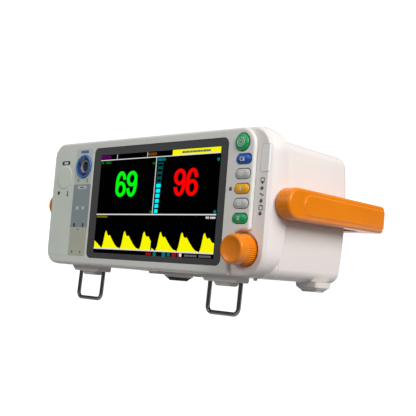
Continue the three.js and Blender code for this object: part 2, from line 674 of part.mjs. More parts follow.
function batteryPack() {
  const { left, right, bottom, top, front, back, radius } = BATTERY;
  return standing(roundedRect(left, front, right, back, radius), bottom, top);
}

function batteryDoor() {
  const { left, right, front, back, thick } = DOOR;
  return standing(roundedRect(left, front, right, back, 0.8), 0.2, thick, 2);
}

const spo2Module = () => join(slab(SENSOR_BOARD), slab(SENSOR_SHIELD));

function speaker() {
  const { x, z, back, depth, magnet, magnetDepth, cone, rim, rimDepth, dish, dishDepth } = SPEAKER;
  return turned([
    [0, back - depth], [magnet, back - depth], [magnet, back - magnetDepth], [cone, back - rimDepth],
    [cone, back], [rim, back], [dish, back - dishDepth], [0, back - dishDepth],
  ], x, z);
}

function encoderBody() {
  const { half, front, back } = ENCODER;
  const { x, z } = KNOB;
  const bore = rod(x, z, SHAFT.radius + GAP, front - 1.2, SHAFT.back + 1, 12);
  return cut(block(x - half, front, z - half, x + half, back, z + half), bore);
}

// ---- Finishes ----
const finish = (color, roughness, metalness = 0) => ({ color, roughness, metalness });
const WHITE = finish(0xeae4e0, 0.45);
const LIGHT_GREY = finish(0xc4c5c0, 0.45);
const DARK = finish(0x1b1c1e, 0.4);
const BOARD = finish(0x1f6b3a, 0.6);
const STEEL = finish(0xb9bcc0, 0.3, 1);
const ORANGE = finish(0xee7d14, 0.4);
const PAD = finish(0x8f8d86, 0.85);
const GREEN = finish(0x109a5e, 0.4);
const KEY_COLOURS = {
  blue: finish(0x0a52b0, 0.4),
  grey_upper: finish(0xbfc1bf, 0.45),
  amber: finish(0xf0a31a, 0.4),
  grey_lower: finish(0xbfc1bf, 0.45),
  green: GREEN,
};

const pieces = [];
const add = (name, geometry, look) => pieces.push([name, geometry, look]);

add('front_plate', frontPlate(), LIGHT_GREY);
add('front_housing', frontHousing(), WHITE);
add('rear_housing', rearHousing(), WHITE);
add('display_window', facing(
  roundedRect(WINDOW.left, WINDOW.bottom, WINDOW.right, WINDOW.top, WINDOW.radius),
  WINDOW.front, WINDOW.back, 5), finish(0x3a3b3d, 0.1));
add('lcd_panel', slab(LCD), DARK);
add('lcd_frame', lcdFrame(), STEEL);
add('main_board', mainBoard(), BOARD);
add('power_supply', powerSupply(), BOARD);
add('battery_pack', batteryPack(), finish(0x2b2f3a, 0.5));
add('battery_door', batteryDoor(), WHITE);
add('spo2_module', spo2Module(), BOARD);
add('speaker', speaker(), DARK);
add('keypad_membrane', slab(MEMBRANE), DARK);
add('keypad_board', slab(KEY_BOARD), BOARD);
add('port_label', portLabel(), finish(0xb7beb2, 0.5));
add('spo2_label', columnLabel(LABEL.highSplit + GAP, PORTS.top, true), finish(0xc3c8c3, 0.5));
add('sensor_label', columnLabel(LABEL.lowSplit + GAP, LABEL.highSplit), finish(0x7f8c93, 0.5));
add('auxiliary_label', columnLabel(PORTS.bottom, LABEL.lowSplit), finish(0x9b9f8b, 0.5));
add('blank_port_cover', blankCover(), finish(0xbcc2b8, 0.5));
add('spo2_socket_shell', socketShell(), finish(0x3a78b5, 0.4));
add('spo2_socket_insert', socketInsert(), DARK);
add('alarm_lens', alarmLens(), finish(0xeef2f4, 0.2));
add('alarm_led_board', slab(ALARM_BOARD), BOARD);
add('warning_led', ledRod(WARNING_LED, WARNING_LED.z), finish(0xb01515, 0.3));
LEDS.heights.forEach((z, index) => {
  add(`status_led_${index + 1}`, ledRod(LEDS, z), finish(0x1c3a24, 0.3));
});
KEYS.names.forEach((name, index) => add(`key_${name}`, key(index), KEY_COLOURS[name]));
add('key_power', powerKey(), GREEN);
add('encoder_body', encoderBody(), STEEL);
add('encoder_shaft', rod(KNOB.x, KNOB.z, SHAFT.radius, SHAFT.front, SHAFT.back - 0.2, 12), STEEL);
add('encoder_knob', knob(), ORANGE);
add('carry_handle', carryHandle(), ORANGE);
[['left', -1], ['right', 1]].forEach(([side, sign]) => {
  add(`handle_pivot_${side}`, pivotPin(sign), STEEL);
  add(`wire_stand_${side}`, wireStand(sign), STEEL);
  add(`front_pad_${side}`, frontPad(sign), PAD);
});
['outer', 'inner'].forEach((name, index) => add(`rear_foot_${name}`, rearFoot(REAR_FOOT.x[index]), PAD));
add('mount_plate', mountPlate(), WHITE);
[-1, 1].forEach((side) => MOUNT.screwY.forEach((y, index) => {
  const name = side < 0 ? 'left' : 'right';
  add(`mount_screw_${name}_${index + 1}`, mountScrew(side * MOUNT.screwX, y), STEEL);
}));
REAR_SCREWS.forEach((place, index) => add(`rear_screw_${index + 1}`, rearScrew(place), STEEL));
add('mains_inlet', mainsInlet(), DARK);
add('network_socket', rearSocket(NETWORK, 1.4, 3), STEEL);
add('usb_socket', rearSocket(USB, 0.7, -0.6), STEEL);
add('earth_stud', earthStud(), finish(0xd3b463, 0.3, 1));

// ---- The case stands on its wire stands and on the rear edge of its rear feet ----
function standingTilt() {
  const lean = THREE.MathUtils.degToRad(BAIL.lean);
  const bar = { y: BAIL.y - (BAIL.z - BAIL.bar) * Math.tan(lean), z: BAIL.bar };
  const heel = { y: REAR_FOOT.y + REAR_FOOT.depth - REAR_FOOT.draft, z: REAR_FOOT.bottom };
  const span = Math.hypot(heel.y - bar.y, heel.z - bar.z);
  return Math.atan2(heel.z - bar.z, heel.y - bar.y) + Math.asin(BAIL.wire / span);
}

const monitor = new THREE.Group();
const tilted = new THREE.Group();
tilted.rotation.x = -standingTilt();
monitor.add(tilted);
pieces.forEach(([name, geometry, look]) => {
  const mesh = new THREE.Mesh(geometry, new THREE.MeshStandardMaterial(look));
  mesh.name = name;
  tilted.add(mesh);
});
tilted.updateMatrixWorld(true);
const bounds = new THREE.Box3().setFromObject(tilted, true);
const centre = bounds.getCenter(new THREE.Vector3());
tilted.position.set(-centre.x, -centre.y, -bounds.min.z);

export default monitor;
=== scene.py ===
"""Looks of the patient monitor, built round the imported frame.

Shapes are drawn in the case's own frame, in millimetres: X to the right, Y back from the front plate's
face, Z up from the case's bottom. The row's joints give the move from there to the row frame.
"""

import json
import math

import bmesh
import bpy
from mathutils import Matrix, Vector


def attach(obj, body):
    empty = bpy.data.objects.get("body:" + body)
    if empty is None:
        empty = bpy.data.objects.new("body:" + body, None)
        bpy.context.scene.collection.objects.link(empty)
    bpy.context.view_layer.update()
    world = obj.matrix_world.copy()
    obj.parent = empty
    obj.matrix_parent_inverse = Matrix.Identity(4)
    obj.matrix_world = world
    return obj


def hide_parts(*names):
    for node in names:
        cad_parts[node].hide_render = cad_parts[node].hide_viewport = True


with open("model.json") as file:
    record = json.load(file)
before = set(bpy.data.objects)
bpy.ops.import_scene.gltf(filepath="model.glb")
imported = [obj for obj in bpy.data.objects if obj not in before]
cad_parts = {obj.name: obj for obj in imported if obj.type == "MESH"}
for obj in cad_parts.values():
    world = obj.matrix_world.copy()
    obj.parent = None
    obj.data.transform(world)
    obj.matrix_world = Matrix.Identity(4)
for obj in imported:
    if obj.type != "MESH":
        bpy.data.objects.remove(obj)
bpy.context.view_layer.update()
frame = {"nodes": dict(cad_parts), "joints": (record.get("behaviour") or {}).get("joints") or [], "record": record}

# ---- Driving sizes, in millimetres in the case's own frame ----
PIVOT = (20.1, 58.6)  # the handle's axis, in Y and Z
PLATE = {"left": -138.3, "right": 122.4, "bottom": 0.6, "top": 117.4, "back": 3, "edge": 2.2}
COLLAR = {"half": 140, "height": 118, "corners": (16, 20, 20, 16), "front": 3.3, "edge": 3, "rim": 1.1}
CHEEK = ((134.8, 3.3), (136.9, 5.8), (138.7, 9.6), (139.7, 13.6), (140, 17.5))
BOX = {"half": 136.5, "top": 111.2, "back": 111, "split": 24.6, "radius": 9, "wall": 2.6}
WINDOW = {"left": -75.8, "right": 94.5, "bottom": 7.5, "top": 109.8, "radius": 5.5, "front": 0.4, "back": 2.6}
SCREEN = {"left": -65.4, "right": 87, "bottom": 12.5, "top": 103.2}
PORTS = {"left": -136.2, "right": -77.7, "bottom": 8.6, "top": 110.7, "column": -103.6, "radius": 3}
SPLITS = (35.5, 76.3)  # heights where the right-hand column of labels changes
SOCKET = {"x": -90.2, "z": 93.6, "radius": 11.2}
BLANK = {"x": -119.3, "z": 83.9, "radius": 11.7}
KEYS = {"x": 111.7, "width": 15.2, "height": 7.9, "front": -0.9, "back": 6.1, "top": 91.8, "pitch": 11.7}
KEY_NAMES = ("blue", "grey_upper", "amber", "grey_lower", "green")
POWER = {"x": 109, "z": 105.2, "radius": 6.9, "front": -2.0}
WARNING = {"x": 100.1, "z": 68.4, "radius": 1.5}
KNOB = {
    "x": 116, "z": 20.7, "base": 12.7, "cap": 11.6, "recess": 14.4, "floor": 6.2,
    "front": -12.55, "back": 5.2,
}
STATUS = {"x": 129.5, "radius": 1.3, "heights": (68.8, 59, 49.3)}
LENS = {"left": 127, "right": 135.4, "bottom": 81.4, "top": 103.2, "front": 3.1, "back": 8.4}
HANDLE = {
    "radius": 12.4, "inner": 140.4, "outer": 153.8, "lift": 0.8, "tail": 11.6, "grip_front": 124,
    "grip_back": 145.2, "corner": 8, "inside_corner": 5, "panel": 8.8, "panel_tail": 8.2,
    "panel_start": 25.4, "inner_rounding": 1.4, "outer_rounding": 2.6, "soft": 1.5,
}
BAIL = {
    "x": 86, "half": 16.8, "wire": 1.83, "y": 18, "z": -2.6, "bar": -29.95, "lean": 2.5, "stub": 6, "bend": 5,
}
FRONT_BOSS = {"half": 19.8, "front": 8.5, "back": 24.3, "bottom": -4.8, "slot": 2.1, "ramp": 4.6}
FRONT_PAD = {"offset": 2.4, "half": 11, "front": 10, "back": 23, "bottom": -8}
REAR_FOOT = {"x": {"outer": 122.5, "inner": -38.5}, "y": 86.5, "half": 9, "depth": 8.5, "bottom": -7.5}
REAR_BOSS = {"half": 11.9, "depth": 10.8, "bottom": -4.4}
MOUNT = {"half": 34, "front": 40, "back": 73, "bottom": -2.5, "screw_x": 26, "screw_y": (49, 67)}
DOOR = {"left": -120, "right": -54, "front": 36, "back": 99, "thick": 2}
VENTS = {"count": 9, "left": -100, "pitch": 9, "width": 3.2, "bottom": 42, "top": 80}
REAR_SCREWS = ((-121, 14), (121, 14), (-119, 97), (119, 97))
INLETS = (("mains", 84, 28, 27.5, 20), ("network", 30, 22, 16, 13.4), ("usb", 4, 22, 13.2, 5.8))
STUD = {"x": 52, "z": 20, "radius": 3}
GAP = 0.3
MM = 0.001


# ---- From the case's frame to the row frame ----
def case_frame():
    """The move that puts the case's own frame where the joints say it is."""
    joints = {joint["name"]: joint for joint in frame["joints"]}
    across = Vector((1, 0, 0))
    back = Vector(joints["key_power_press"]["axis"]).normalized()
    turn = Matrix((across, back, across.cross(back))).transposed()
    pivot = Vector(joints["handle_swing"]["pos_m"])
    origin = pivot - turn @ Vector((0, PIVOT[0] * MM, PIVOT[1] * MM))
    return Matrix.Translation(origin) @ turn.to_4x4() @ Matrix.Scale(MM, 4)


CASE_TO_ROW = case_frame()


# ---- Outlines: lists of (x, z), anticlockwise as seen from the front ----
def arc(x, z, radius, start, end, steps=8):
    """Points along an arc between two angles in degrees."""
    angles = [math.radians(start + (end - start) * step / steps) for step in range(steps + 1)]
    return [(x + radius * math.cos(angle), z + radius * math.sin(angle)) for angle in angles]


def circle(x, z, radius, steps=48):
    return arc(x, z, radius, 0, 360, steps)[:-1]


def between(start, end, count):
    """Evenly spaced points inside a straight stretch."""
    shares = [step / (count + 1) for step in range(1, count + 1)]
    return [tuple(a + (b - a) * share for a, b in zip(start, end)) for share in shares]


def rounded(left, bottom, right, top, radius, steps=8, side_points=0):
    """A rectangle with round corners; four radii run from the lower left corner anticlockwise."""
    a, b, c, d = radius if isinstance(radius, tuple) else (radius,) * 4
    corners = [
        arc(left + a, bottom + a, a, 180, 270, steps),
        arc(right - b, bottom + b, b, 270, 360, steps),
        arc(right - c, top - c, c, 0, 90, steps),
        arc(left + d, top - d, d, 90, 180, steps),
    ]
    points = []
    for corner, following in zip(corners, corners[1:] + corners[:1]):
        points += corner + between(corner[-1], following[0], side_points)
    return points


def oval(x, z, width, height, steps=12):
    """A slot shape with round ends."""
    radius = min(width, height) / 2 - 0.001
    return rounded(x - width / 2, z - height / 2, x + width / 2, z + height / 2, radius, steps)


def box_outline(left, bottom, right, top):
    return [(left, bottom), (right, bottom), (right, top), (left, top)]


def ribbon(points, width, closed=False):
    """A line of the given width, as the outlines that bound it."""
    count = len(points)
    sides = ([], [])
    for index, point in enumerate(points):
        before = points[index - 1] if closed or index else point
        after = points[(index + 1) % count] if closed or index + 1 < count else point
        along = Vector((after[0] - before[0], after[1] - before[1])).normalized()
        for side, sign in zip(sides, (1, -1)):
            side.append((point[0] - sign * along.y * width / 2, point[1] + sign * along.x * width / 2))
    return [sides[0], sides[1]] if closed else [sides[0] + sides[1][::-1]]


# ---- Meshes ----
def mesh_from(points, faces):
    """A mesh with doubled points merged and its faces turned outwards."""
    mesh = bpy.data.meshes.new("part")
    mesh.from_pydata([tuple(point) for point in points], [], faces)
    return cleaned(mesh)


def cleaned(mesh):
    work = bmesh.new()
    work.from_mesh(mesh)
    bmesh.ops.remove_doubles(work, verts=work.verts, dist=0.0005)
    bmesh.ops.recalc_face_normals(work, faces=work.faces)
    work.to_mesh(mesh)
    work.free()
    return mesh


def evaluated(thing):
    """The final mesh of a temporary object, which is then removed."""
    bpy.context.view_layer.update()
    graph = bpy.context.evaluated_depsgraph_get()
    mesh = bpy.data.meshes.new_from_object(thing.evaluated_get(graph))
    bpy.data.objects.remove(thing)
    return mesh


def temporary(data):
    thing = bpy.data.objects.new("temporary", data)
    bpy.context.scene.collection.objects.link(thing)
    return thing


def slab(outlines, front, back, edge=0.0, rounds=3):
    """A plate between two depths with rounded edges. The outlines after the first are holes in it."""
    curve = bpy.data.curves.new("slab", "CURVE")
    curve.dimensions = "2D"
    curve.fill_mode = "BOTH"
    curve.extrude = (back - front) / 2 - edge
    curve.bevel_depth = edge
    curve.bevel_resolution = rounds
    curve.offset = -edge
    for outline in outlines:
        spline = curve.splines.new("POLY")
        spline.points.add(len(outline) - 1)
        for point, (x, z) in zip(spline.points, outline):
            point.co = (x, z, 0, 1)
        spline.use_cyclic_u = True
    mesh = evaluated(temporary(curve))
    mesh.transform(Matrix.Translation((0, (front + back) / 2, 0)) @ Matrix.Rotation(math.pi / 2, 4, "X"))
    return cleaned(mesh)


def trimmed(mesh, depth):
    """The part of a slab in front of a depth, closed with a flat back."""
    work = bmesh.new()
    work.from_mesh(mesh)
    everything = work.verts[:] + work.edges[:] + work.faces[:]
    cut_at = {"plane_co": (0, depth, 0), "plane_no": (0, 1, 0), "clear_outer": True}
    bmesh.ops.bisect_plane(work, geom=everything, dist=0.0001, **cut_at)
    rim = [edge for edge in work.edges if edge.is_boundary]
    bmesh.ops.triangle_fill(work, edges=rim, use_beauty=True, use_dissolve=True)
    bmesh.ops.recalc_face_normals(work, faces=work.faces)
    work.to_mesh(mesh)
    work.free()
    return mesh


def loft(rings, capped=True):
    """A skin through rings of equally many points."""
    size = len(rings[0])
    points = [point for ring in rings for point in ring]
    faces = []
    for ring in range(len(rings) - 1):
        for step in range(size):
            here, there = ring * size + step, ring * size + (step + 1) % size
            faces.append((here, there, there + size, here + size))
    if capped:
        faces.append(tuple(range(size)))
        faces.append(tuple(range(len(points) - size, len(points))))
    return mesh_from(points, faces)


def turned(profile, x, z, segments=72, flutes=0, flute_depth=0.0, fluted=None):
    """A piece turned about a line along Y. The profile holds (radius, y); fluted rings have ribs."""
    rings = []
    for index, (radius, y) in enumerate(profile):
        ring = []
        for step in range(segments):
            angle = 2 * math.pi * step / segments
            ribbed = fluted and fluted[0] <= index <= fluted[1]
            reach = radius - (flute_depth * (0.5 - 0.5 * math.cos(flutes * angle)) if ribbed else 0)
            ring.append((x + reach * math.cos(angle), y, z + reach * math.sin(angle)))
        rings.append(ring)
    return loft(rings, capped=False)


def rod(x, z, radius, front, back, segments=40):
    return turned([(0, front), (radius, front), (radius, back), (0, back)], x, z, segments)


def block(left, front, bottom, right, back, top, edge=0.0):
    return slab([box_outline(left, bottom, right, top)], front, back, edge)


def joined(*meshes):
    """Several meshes as separate shells of one."""
    work = bmesh.new()
    for mesh in meshes:
        work.from_mesh(mesh)
    whole = bpy.data.meshes.new("part")
    work.to_mesh(whole)
    work.free()
    return whole


def combined(base, tools, operation):
    """base after a boolean with each of the tools."""
    body = temporary(base)
    helpers = [temporary(tool) for tool in tools]
    for helper in helpers:
        modifier = body.modifiers.new("cut", "BOOLEAN")
        modifier.operation = operation
        modifier.solver = "EXACT"
        modifier.object = helper
    mesh = evaluated(body)
    for helper in helpers:
        bpy.data.objects.remove(helper)
    return mesh


def cut(base, *tools):
    return combined(base, tools, "DIFFERENCE")


def tube(points, radius, closed=False):
    """A round wire along points given in the case's frame."""
    curve = bpy.data.curves.new("tube", "CURVE")
    curve.dimensions = "3D"
    curve.bevel_depth = radius
    curve.bevel_resolution = 5
    curve.use_fill_caps = True
    spline = curve.splines.new("POLY")
    spline.points.add(len(points) - 1)
    for point, place in zip(spline.points, points):
        point.co = (*place, 1)
    spline.use_cyclic_u = closed
    return cleaned(evaluated(temporary(curve)))


def mirrored(mesh):
    """The mesh and its mirror image across X = 0, welded together."""
    other = mesh.copy()
    other.transform(Matrix.Scale(-1, 4, (1, 0, 0)))
    return cleaned(joined(mesh, other))


def piece(name, mesh, material, body, replaces=(), sharp=35):
    """Puts a mesh drawn in the case's frame into the scene as one named piece on a body."""
    mesh.name = name
    mesh.transform(CASE_TO_ROW)
    mesh.materials.clear()
    mesh.materials.append(material)
    mesh.shade_smooth()
    mesh.set_sharp_from_angle(angle=math.radians(sharp))
    thing = bpy.data.objects.new(name, mesh)
    bpy.context.scene.collection.objects.link(thing)
    weighted = thing.modifiers.new("weighted_normals", "WEIGHTED_NORMAL")
    weighted.keep_sharp = True
    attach(thing, body)
    if replaces:
        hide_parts(*replaces)
    return thing


# ---- Materials ----
def noise(nodes, links, scale, detail):
    """A noise texture in the piece's own coordinates."""
    place = nodes.new("ShaderNodeTexCoord")
    texture = nodes.new("ShaderNodeTexNoise")
    texture.inputs["Scale"].default_value = scale
    texture.inputs["Detail"].default_value = detail
    links.new(place.outputs["Object"], texture.inputs["Vector"])
    return texture.outputs["Fac"]


def ranged(nodes, links, source, low, high):
    """A noise value spread over a range."""
    node = nodes.new("ShaderNodeMapRange")
    node.inputs["From Min"].default_value = 0.3
    node.inputs["From Max"].default_value = 0.7
    node.inputs["To Min"].default_value = low
    node.inputs["To Max"].default_value = high
    links.new(source, node.inputs["Value"])
    return node.outputs["Result"]


def surface(
    name, colour, roughness, spread=0.03, drift=30, grain=2200, bump=0.06, **sockets
):
    """A finish whose colour drifts slowly, with a fine grain in its roughness and its height."""
    material = bpy.data.materials.new(name)
    material.use_nodes = True
    nodes, links = material.node_tree.nodes, material.node_tree.links
    shader = nodes["Principled BSDF"]
    mix = nodes.new("ShaderNodeMix")
    mix.data_type = "RGBA"
    mix.inputs["A"].default_value = (*[channel * (1 - spread) for channel in colour], 1)
    mix.inputs["B"].default_value = (*[min(1, channel * (1 + spread)) for channel in colour], 1)
    links.new(ranged(nodes, links, noise(nodes, links, drift, 3), 0, 1), mix.inputs["Factor"])
    links.new(mix.outputs["Result"], shader.inputs["Base Color"])
    fine = noise(nodes, links, grain, 2)
    rough = ranged(nodes, links, fine, max(0.02, roughness - 0.05), roughness + 0.05)
    links.new(rough, shader.inputs["Roughness"])
    height = nodes.new("ShaderNodeBump")
    height.inputs["Strength"].default_value = bump
    height.inputs["Distance"].default_value = 0.0002
    links.new(fine, height.inputs["Height"])
    links.new(height.outputs["Normal"], shader.inputs["Normal"])
    for socket, value in sockets.items():
        shader.inputs[socket.replace("_", " ")].default_value = value
    return material


def glowing(name, colour, strength=1.0):
    """A lit part of the display: its light is broken up by the panel's fine rows of pixels."""
    material = bpy.data.materials.new(name)
    material.use_nodes = True
    nodes, links = material.node_tree.nodes, material.node_tree.links
    shader = nodes["Principled BSDF"]
    shader.inputs["Base Color"].default_value = (0.002, 0.002, 0.002, 1)
    shader.inputs["Specular IOR Level"].default_value = 0.0
    shader.inputs["Roughness"].default_value = 0.6
    shader.inputs["Emission Strength"].default_value = strength
    place = nodes.new("ShaderNodeTexCoord")
    rows = nodes.new("ShaderNodeTexWave")
    rows.inputs["Scale"].default_value = 820
    links.new(place.outputs["Object"], rows.inputs["Vector"])
    mix = nodes.new("ShaderNodeMix")
    mix.data_type = "RGBA"
    mix.inputs["A"].default_value = (*colour, 1)
    mix.inputs["B"].default_value = (*[channel * 0.9 for channel in colour], 1)
    links.new(rows.outputs["Fac"], mix.inputs["Factor"])
    links.new(mix.outputs["Result"], shader.inputs["Emission Color"])
    return material


CASE_WHITE = surface("case_white", (0.86, 0.815, 0.79), 0.42, spread=0.012, bump=0.10)
PLATE_GREY = surface("plate_grey", (0.80, 0.80, 0.76), 0.42, spread=0.015, bump=0.08)
LABEL_PALE = surface("label_pale", (0.76, 0.82, 0.74), 0.48, spread=0.03, grain=3500, bump=0.05)
LABEL_LIGHT = surface("label_light", (0.63, 0.69, 0.61), 0.48, spread=0.03, grain=3500, bump=0.05)
LABEL_GREY = surface("label_grey", (0.30, 0.36, 0.365), 0.5, spread=0.05, grain=3500, bump=0.05)
LABEL_OLIVE = surface("label_olive", (0.53, 0.56, 0.45), 0.5, spread=0.04, grain=3500, bump=0.05)
ORANGE = surface(
    "orange_plastic", (0.87, 0.238, 0.001), 0.27, spread=0.03, grain=1800, bump=0.05, Specular_IOR_Level=0.35
)
# Rubber for the feet and pads, made paler than the rubber really is: painted light from the floor's bounce.
FOOT_PAINTED_LIGHT = surface("foot_rubber", (0.88, 0.84, 0.80), 0.6, spread=0.06, grain=1200, bump=0.2)
# The same rubber darkened for the inner rear foot: painted shade under the case.
FOOT_PAINTED_SHADE = surface(
    "foot_painted_shade", (0.022, 0.021, 0.02), 0.7, spread=0.15, grain=1200, bump=0.25, Specular_IOR_Level=0.15
)
BLACK = surface("black_plastic", (0.018, 0.018, 0.02), 0.35, spread=0.15, bump=0.08)
BLACK_RUBBER = surface("black_rubber", (0.03, 0.03, 0.03), 0.75, spread=0.15, bump=0.2)
GLASS = surface(
    "window_glass", (0.052, 0.053, 0.056), 0.10, spread=0.10, drift=12, grain=60, bump=0.004, Coat_Weight=0.3
)
DARK_SCREEN = surface(
    "screen_dark", (0.0008, 0.0008, 0.001), 0.8, spread=0.2, drift=20, bump=0.01, Specular_IOR_Level=0.0
)
BOARD = surface("circuit_board", (0.03, 0.16, 0.07), 0.45, spread=0.25, drift=400, bump=0.1)
BATTERY = surface("battery_wrap", (0.05, 0.06, 0.09), 0.4, spread=0.1, bump=0.08)
STEEL = surface("bright_steel", (0.60, 0.61, 0.62), 0.28, spread=0.06, grain=900, bump=0.06, Metallic=1.0)
# Steel for the wire stands, far darker than bright steel: a painted dark reflection of dim surroundings.
WIRE_PAINTED_DARK_REFLECTION = surface("wire_steel", (0.115, 0.11, 0.105), 0.10, spread=0.06, grain=700, bump=0.05, Metallic=1.0)
BRASS = surface("stud_brass", (0.72, 0.52, 0.24), 0.26, spread=0.08, grain=900, bump=0.06, Metallic=1.0)
KEY_GREEN = surface("key_green", (0.002, 0.36, 0.11), 0.3, spread=0.05, bump=0.05)
KEY_BLUE = surface("key_blue", (0.001, 0.09, 0.46), 0.3, spread=0.05, bump=0.05)
KEY_GREY = surface("key_grey", (0.56, 0.58, 0.56), 0.3, spread=0.03, bump=0.05)
KEY_AMBER = surface("key_amber", (0.96, 0.44, 0.005), 0.3, spread=0.05, bump=0.05)
ICON_LIGHT = surface("icon_light", (0.66, 0.70, 0.68), 0.4, spread=0.04, bump=0.04)
ICON_WHITE = surface("icon_white", (0.90, 0.92, 0.90), 0.4, spread=0.03, bump=0.04)
ICON_DARK = surface("icon_dark", (0.018, 0.024, 0.028), 0.5, spread=0.1, bump=0.04)
ICON_SOFT = surface("icon_soft", (0.16, 0.18, 0.17), 0.5, spread=0.1, bump=0.04)
LENS_CLEAR = surface(
    "lens_clear", (0.95, 0.95, 0.94), 0.22, spread=0.02, bump=0.05, Transmission_Weight=0.05, Coat_Weight=0.4
)
LED_GREEN = surface("led_green", (0.008, 0.055, 0.028), 0.15, spread=0.1, bump=0.02, Coat_Weight=0.6)
LED_RED = surface("led_red", (0.16, 0.012, 0.012), 0.15, spread=0.1, bump=0.02, Coat_Weight=0.6)
RING_BLUE = surface("socket_blue", (0.030, 0.18, 0.50), 0.25, spread=0.06, bump=0.05, Coat_Weight=0.4)
RING_NAVY = surface("socket_navy", (0.012, 0.030, 0.16), 0.25, spread=0.1, bump=0.05, Coat_Weight=0.4)
RING_LIGHT = surface("socket_light", (0.42, 0.46, 0.54), 0.35, spread=0.05, bump=0.05)

GLOW_WHITE = glowing("glow_white", (0.78, 0.74, 0.76))
GLOW_GREEN = glowing("glow_green", (0.0, 1.0, 0.005))
GLOW_RED = glowing("glow_red", (1.0, 0.0, 0.0))
GLOW_YELLOW = glowing("glow_yellow", (1.0, 0.97, 0.0))
GLOW_CYAN = glowing("glow_cyan", (0.0, 0.95, 1.0))
GLOW_TEAL = glowing("glow_teal", (0.0, 0.12, 0.12))
GLOW_TEAL_MARK = glowing("glow_teal_mark", (0.0, 0.17, 0.165))
GLOW_LEAF = glowing("glow_leaf", (0.0, 0.16, 0.005))
GLOW_PURPLE = glowing("glow_purple", (0.12, 0.0, 0.14))
GLOW_AMBER = glowing("glow_amber", (0.19, 0.06, 0.0))
GLOW_OLIVE = glowing("glow_olive", (0.16, 0.16, 0.0))
GLOW_DARK_RED = glowing("glow_dark_red", (0.36, 0.005, 0.005))
GLOW_GREY = glowing("glow_grey", (0.14, 0.14, 0.15))

SLOT_LOOKS = {
    "case_white": CASE_WHITE, "plate_grey": PLATE_GREY, "label_pale": LABEL_PALE,
    "label_light": LABEL_LIGHT, "label_grey": LABEL_GREY, "label_olive": LABEL_OLIVE,
    "window_glass": GLASS, "screen_lit": DARK_SCREEN, "black_plastic": BLACK,
    "black_rubber": BLACK_RUBBER, "circuit_board": BOARD, "battery_wrap": BATTERY,
    "bright_steel": STEEL, "wire_steel": WIRE_PAINTED_DARK_REFLECTION, "stud_brass": BRASS, "orange_plastic": ORANGE,
    "foot_rubber": FOOT_PAINTED_LIGHT, "key_green": KEY_GREEN, "key_blue": KEY_BLUE, "key_grey": KEY_GREY,
    "key_amber": KEY_AMBER, "lens_clear": LENS_CLEAR, "led_green": LED_GREEN, "led_red": LED_RED,
    "socket_blue": RING_BLUE,
}


def dress_cad_nodes():
    """Every CAD node gets the finish of its slot."""
    for subpart in frame["record"]["subparts"]:
        node = frame["nodes"][subpart["node"]]
        node.data.materials.clear()
        node.data.materials.append(SLOT_LOOKS[subpart["material_slot"]])
        node.data.shade_smooth()
        node.data.set_sharp_from_angle(angle=math.radians(30))


# ---- Case ----
def bezier(points, steps):
    """Points along a cubic Bezier curve in a plane."""
    a, b, c, d = points
    curve = []
    for step in range(steps + 1):
        t = step / steps
        weights = ((1 - t) ** 3, 3 * t * (1 - t) ** 2, 3 * t * t * (1 - t), t**3)
        curve.append(tuple(sum(w * p[i] for w, p in zip(weights, (a, b, c, d))) for i in (0, 1)))
    return curve


# The collar's rear edge from the side, in (Y, Z): it bows backwards at mid height and rolls over the top.
COLLAR_REAR = (
    bezier(((15, 0), (23, 20), (27, 55), (19.6, 101)), 24)
    + bezier(((19.6, 101), (19.5, 105), (19.4, 108), (19.3, 111)), 4)[1:]
    + bezier(((19.3, 111), (18.4, 114.2), (15, 116.5), (9, 118)), 10)[1:]
)


def collar_depth(z):
    """How far back the collar's rear edge lies at a height."""
    for (y0, z0), (y1, z1) in zip(COLLAR_REAR, COLLAR_REAR[1:]):
        if z <= z1:
            return y0 + (y1 - y0) * max(0, z - z0) / (z1 - z0)
    return COLLAR_REAR[-1][0]


def cheek_width(y):
    """How far right the sloping cheek reaches at a depth."""
    for (x0, y0), (x1, y1) in zip(CHEEK, CHEEK[1:]):
        if y <= y1:
            return x0 + (x1 - x0) * max(0, y - y0) / (y1 - y0)
    return CHEEK[-1][0]


def collar_ring(inset, depth, cheek=False):
    """The collar's outline drawn in by an inset, each point at the depth that its height gives.

    In the rings of the cheek the right-hand side is narrowed to the cheek's slope.
    """
    half, height = COLLAR["half"], COLLAR["height"]
    corners = tuple(radius - inset for radius in COLLAR["corners"])
    outline = rounded(-half + inset, inset, half - inset, height - inset, corners, 12, 14)
    ring = []
    for x, z in outline:
        y = depth(z)
        start = 100
        if cheek and x > start:
            reach = cheek_width(y) - (0.3 if y < 5 else 0)
            x = start + (x - start) * min(1, (reach - start) / (half - inset - start))
        ring.append((x, y, z))
    return ring


def box_ring(y, inset):
    """The rear case's outline at a depth: its sides bulge and its top falls away backwards."""
    top = BOX["top"] - inset - 1.7 * max(0, (y - BOX["split"]) / (BOX["back"] - BOX["split"]))
    radius = max(BOX["radius"] - inset, 3)
    outline = rounded(-BOX["half"] + inset, inset, BOX["half"] - inset, top, radius, 8, 9)
    return [(x - math.copysign(0.0014 * (z - 54) ** 2, x), y, z) for x, z in outline]


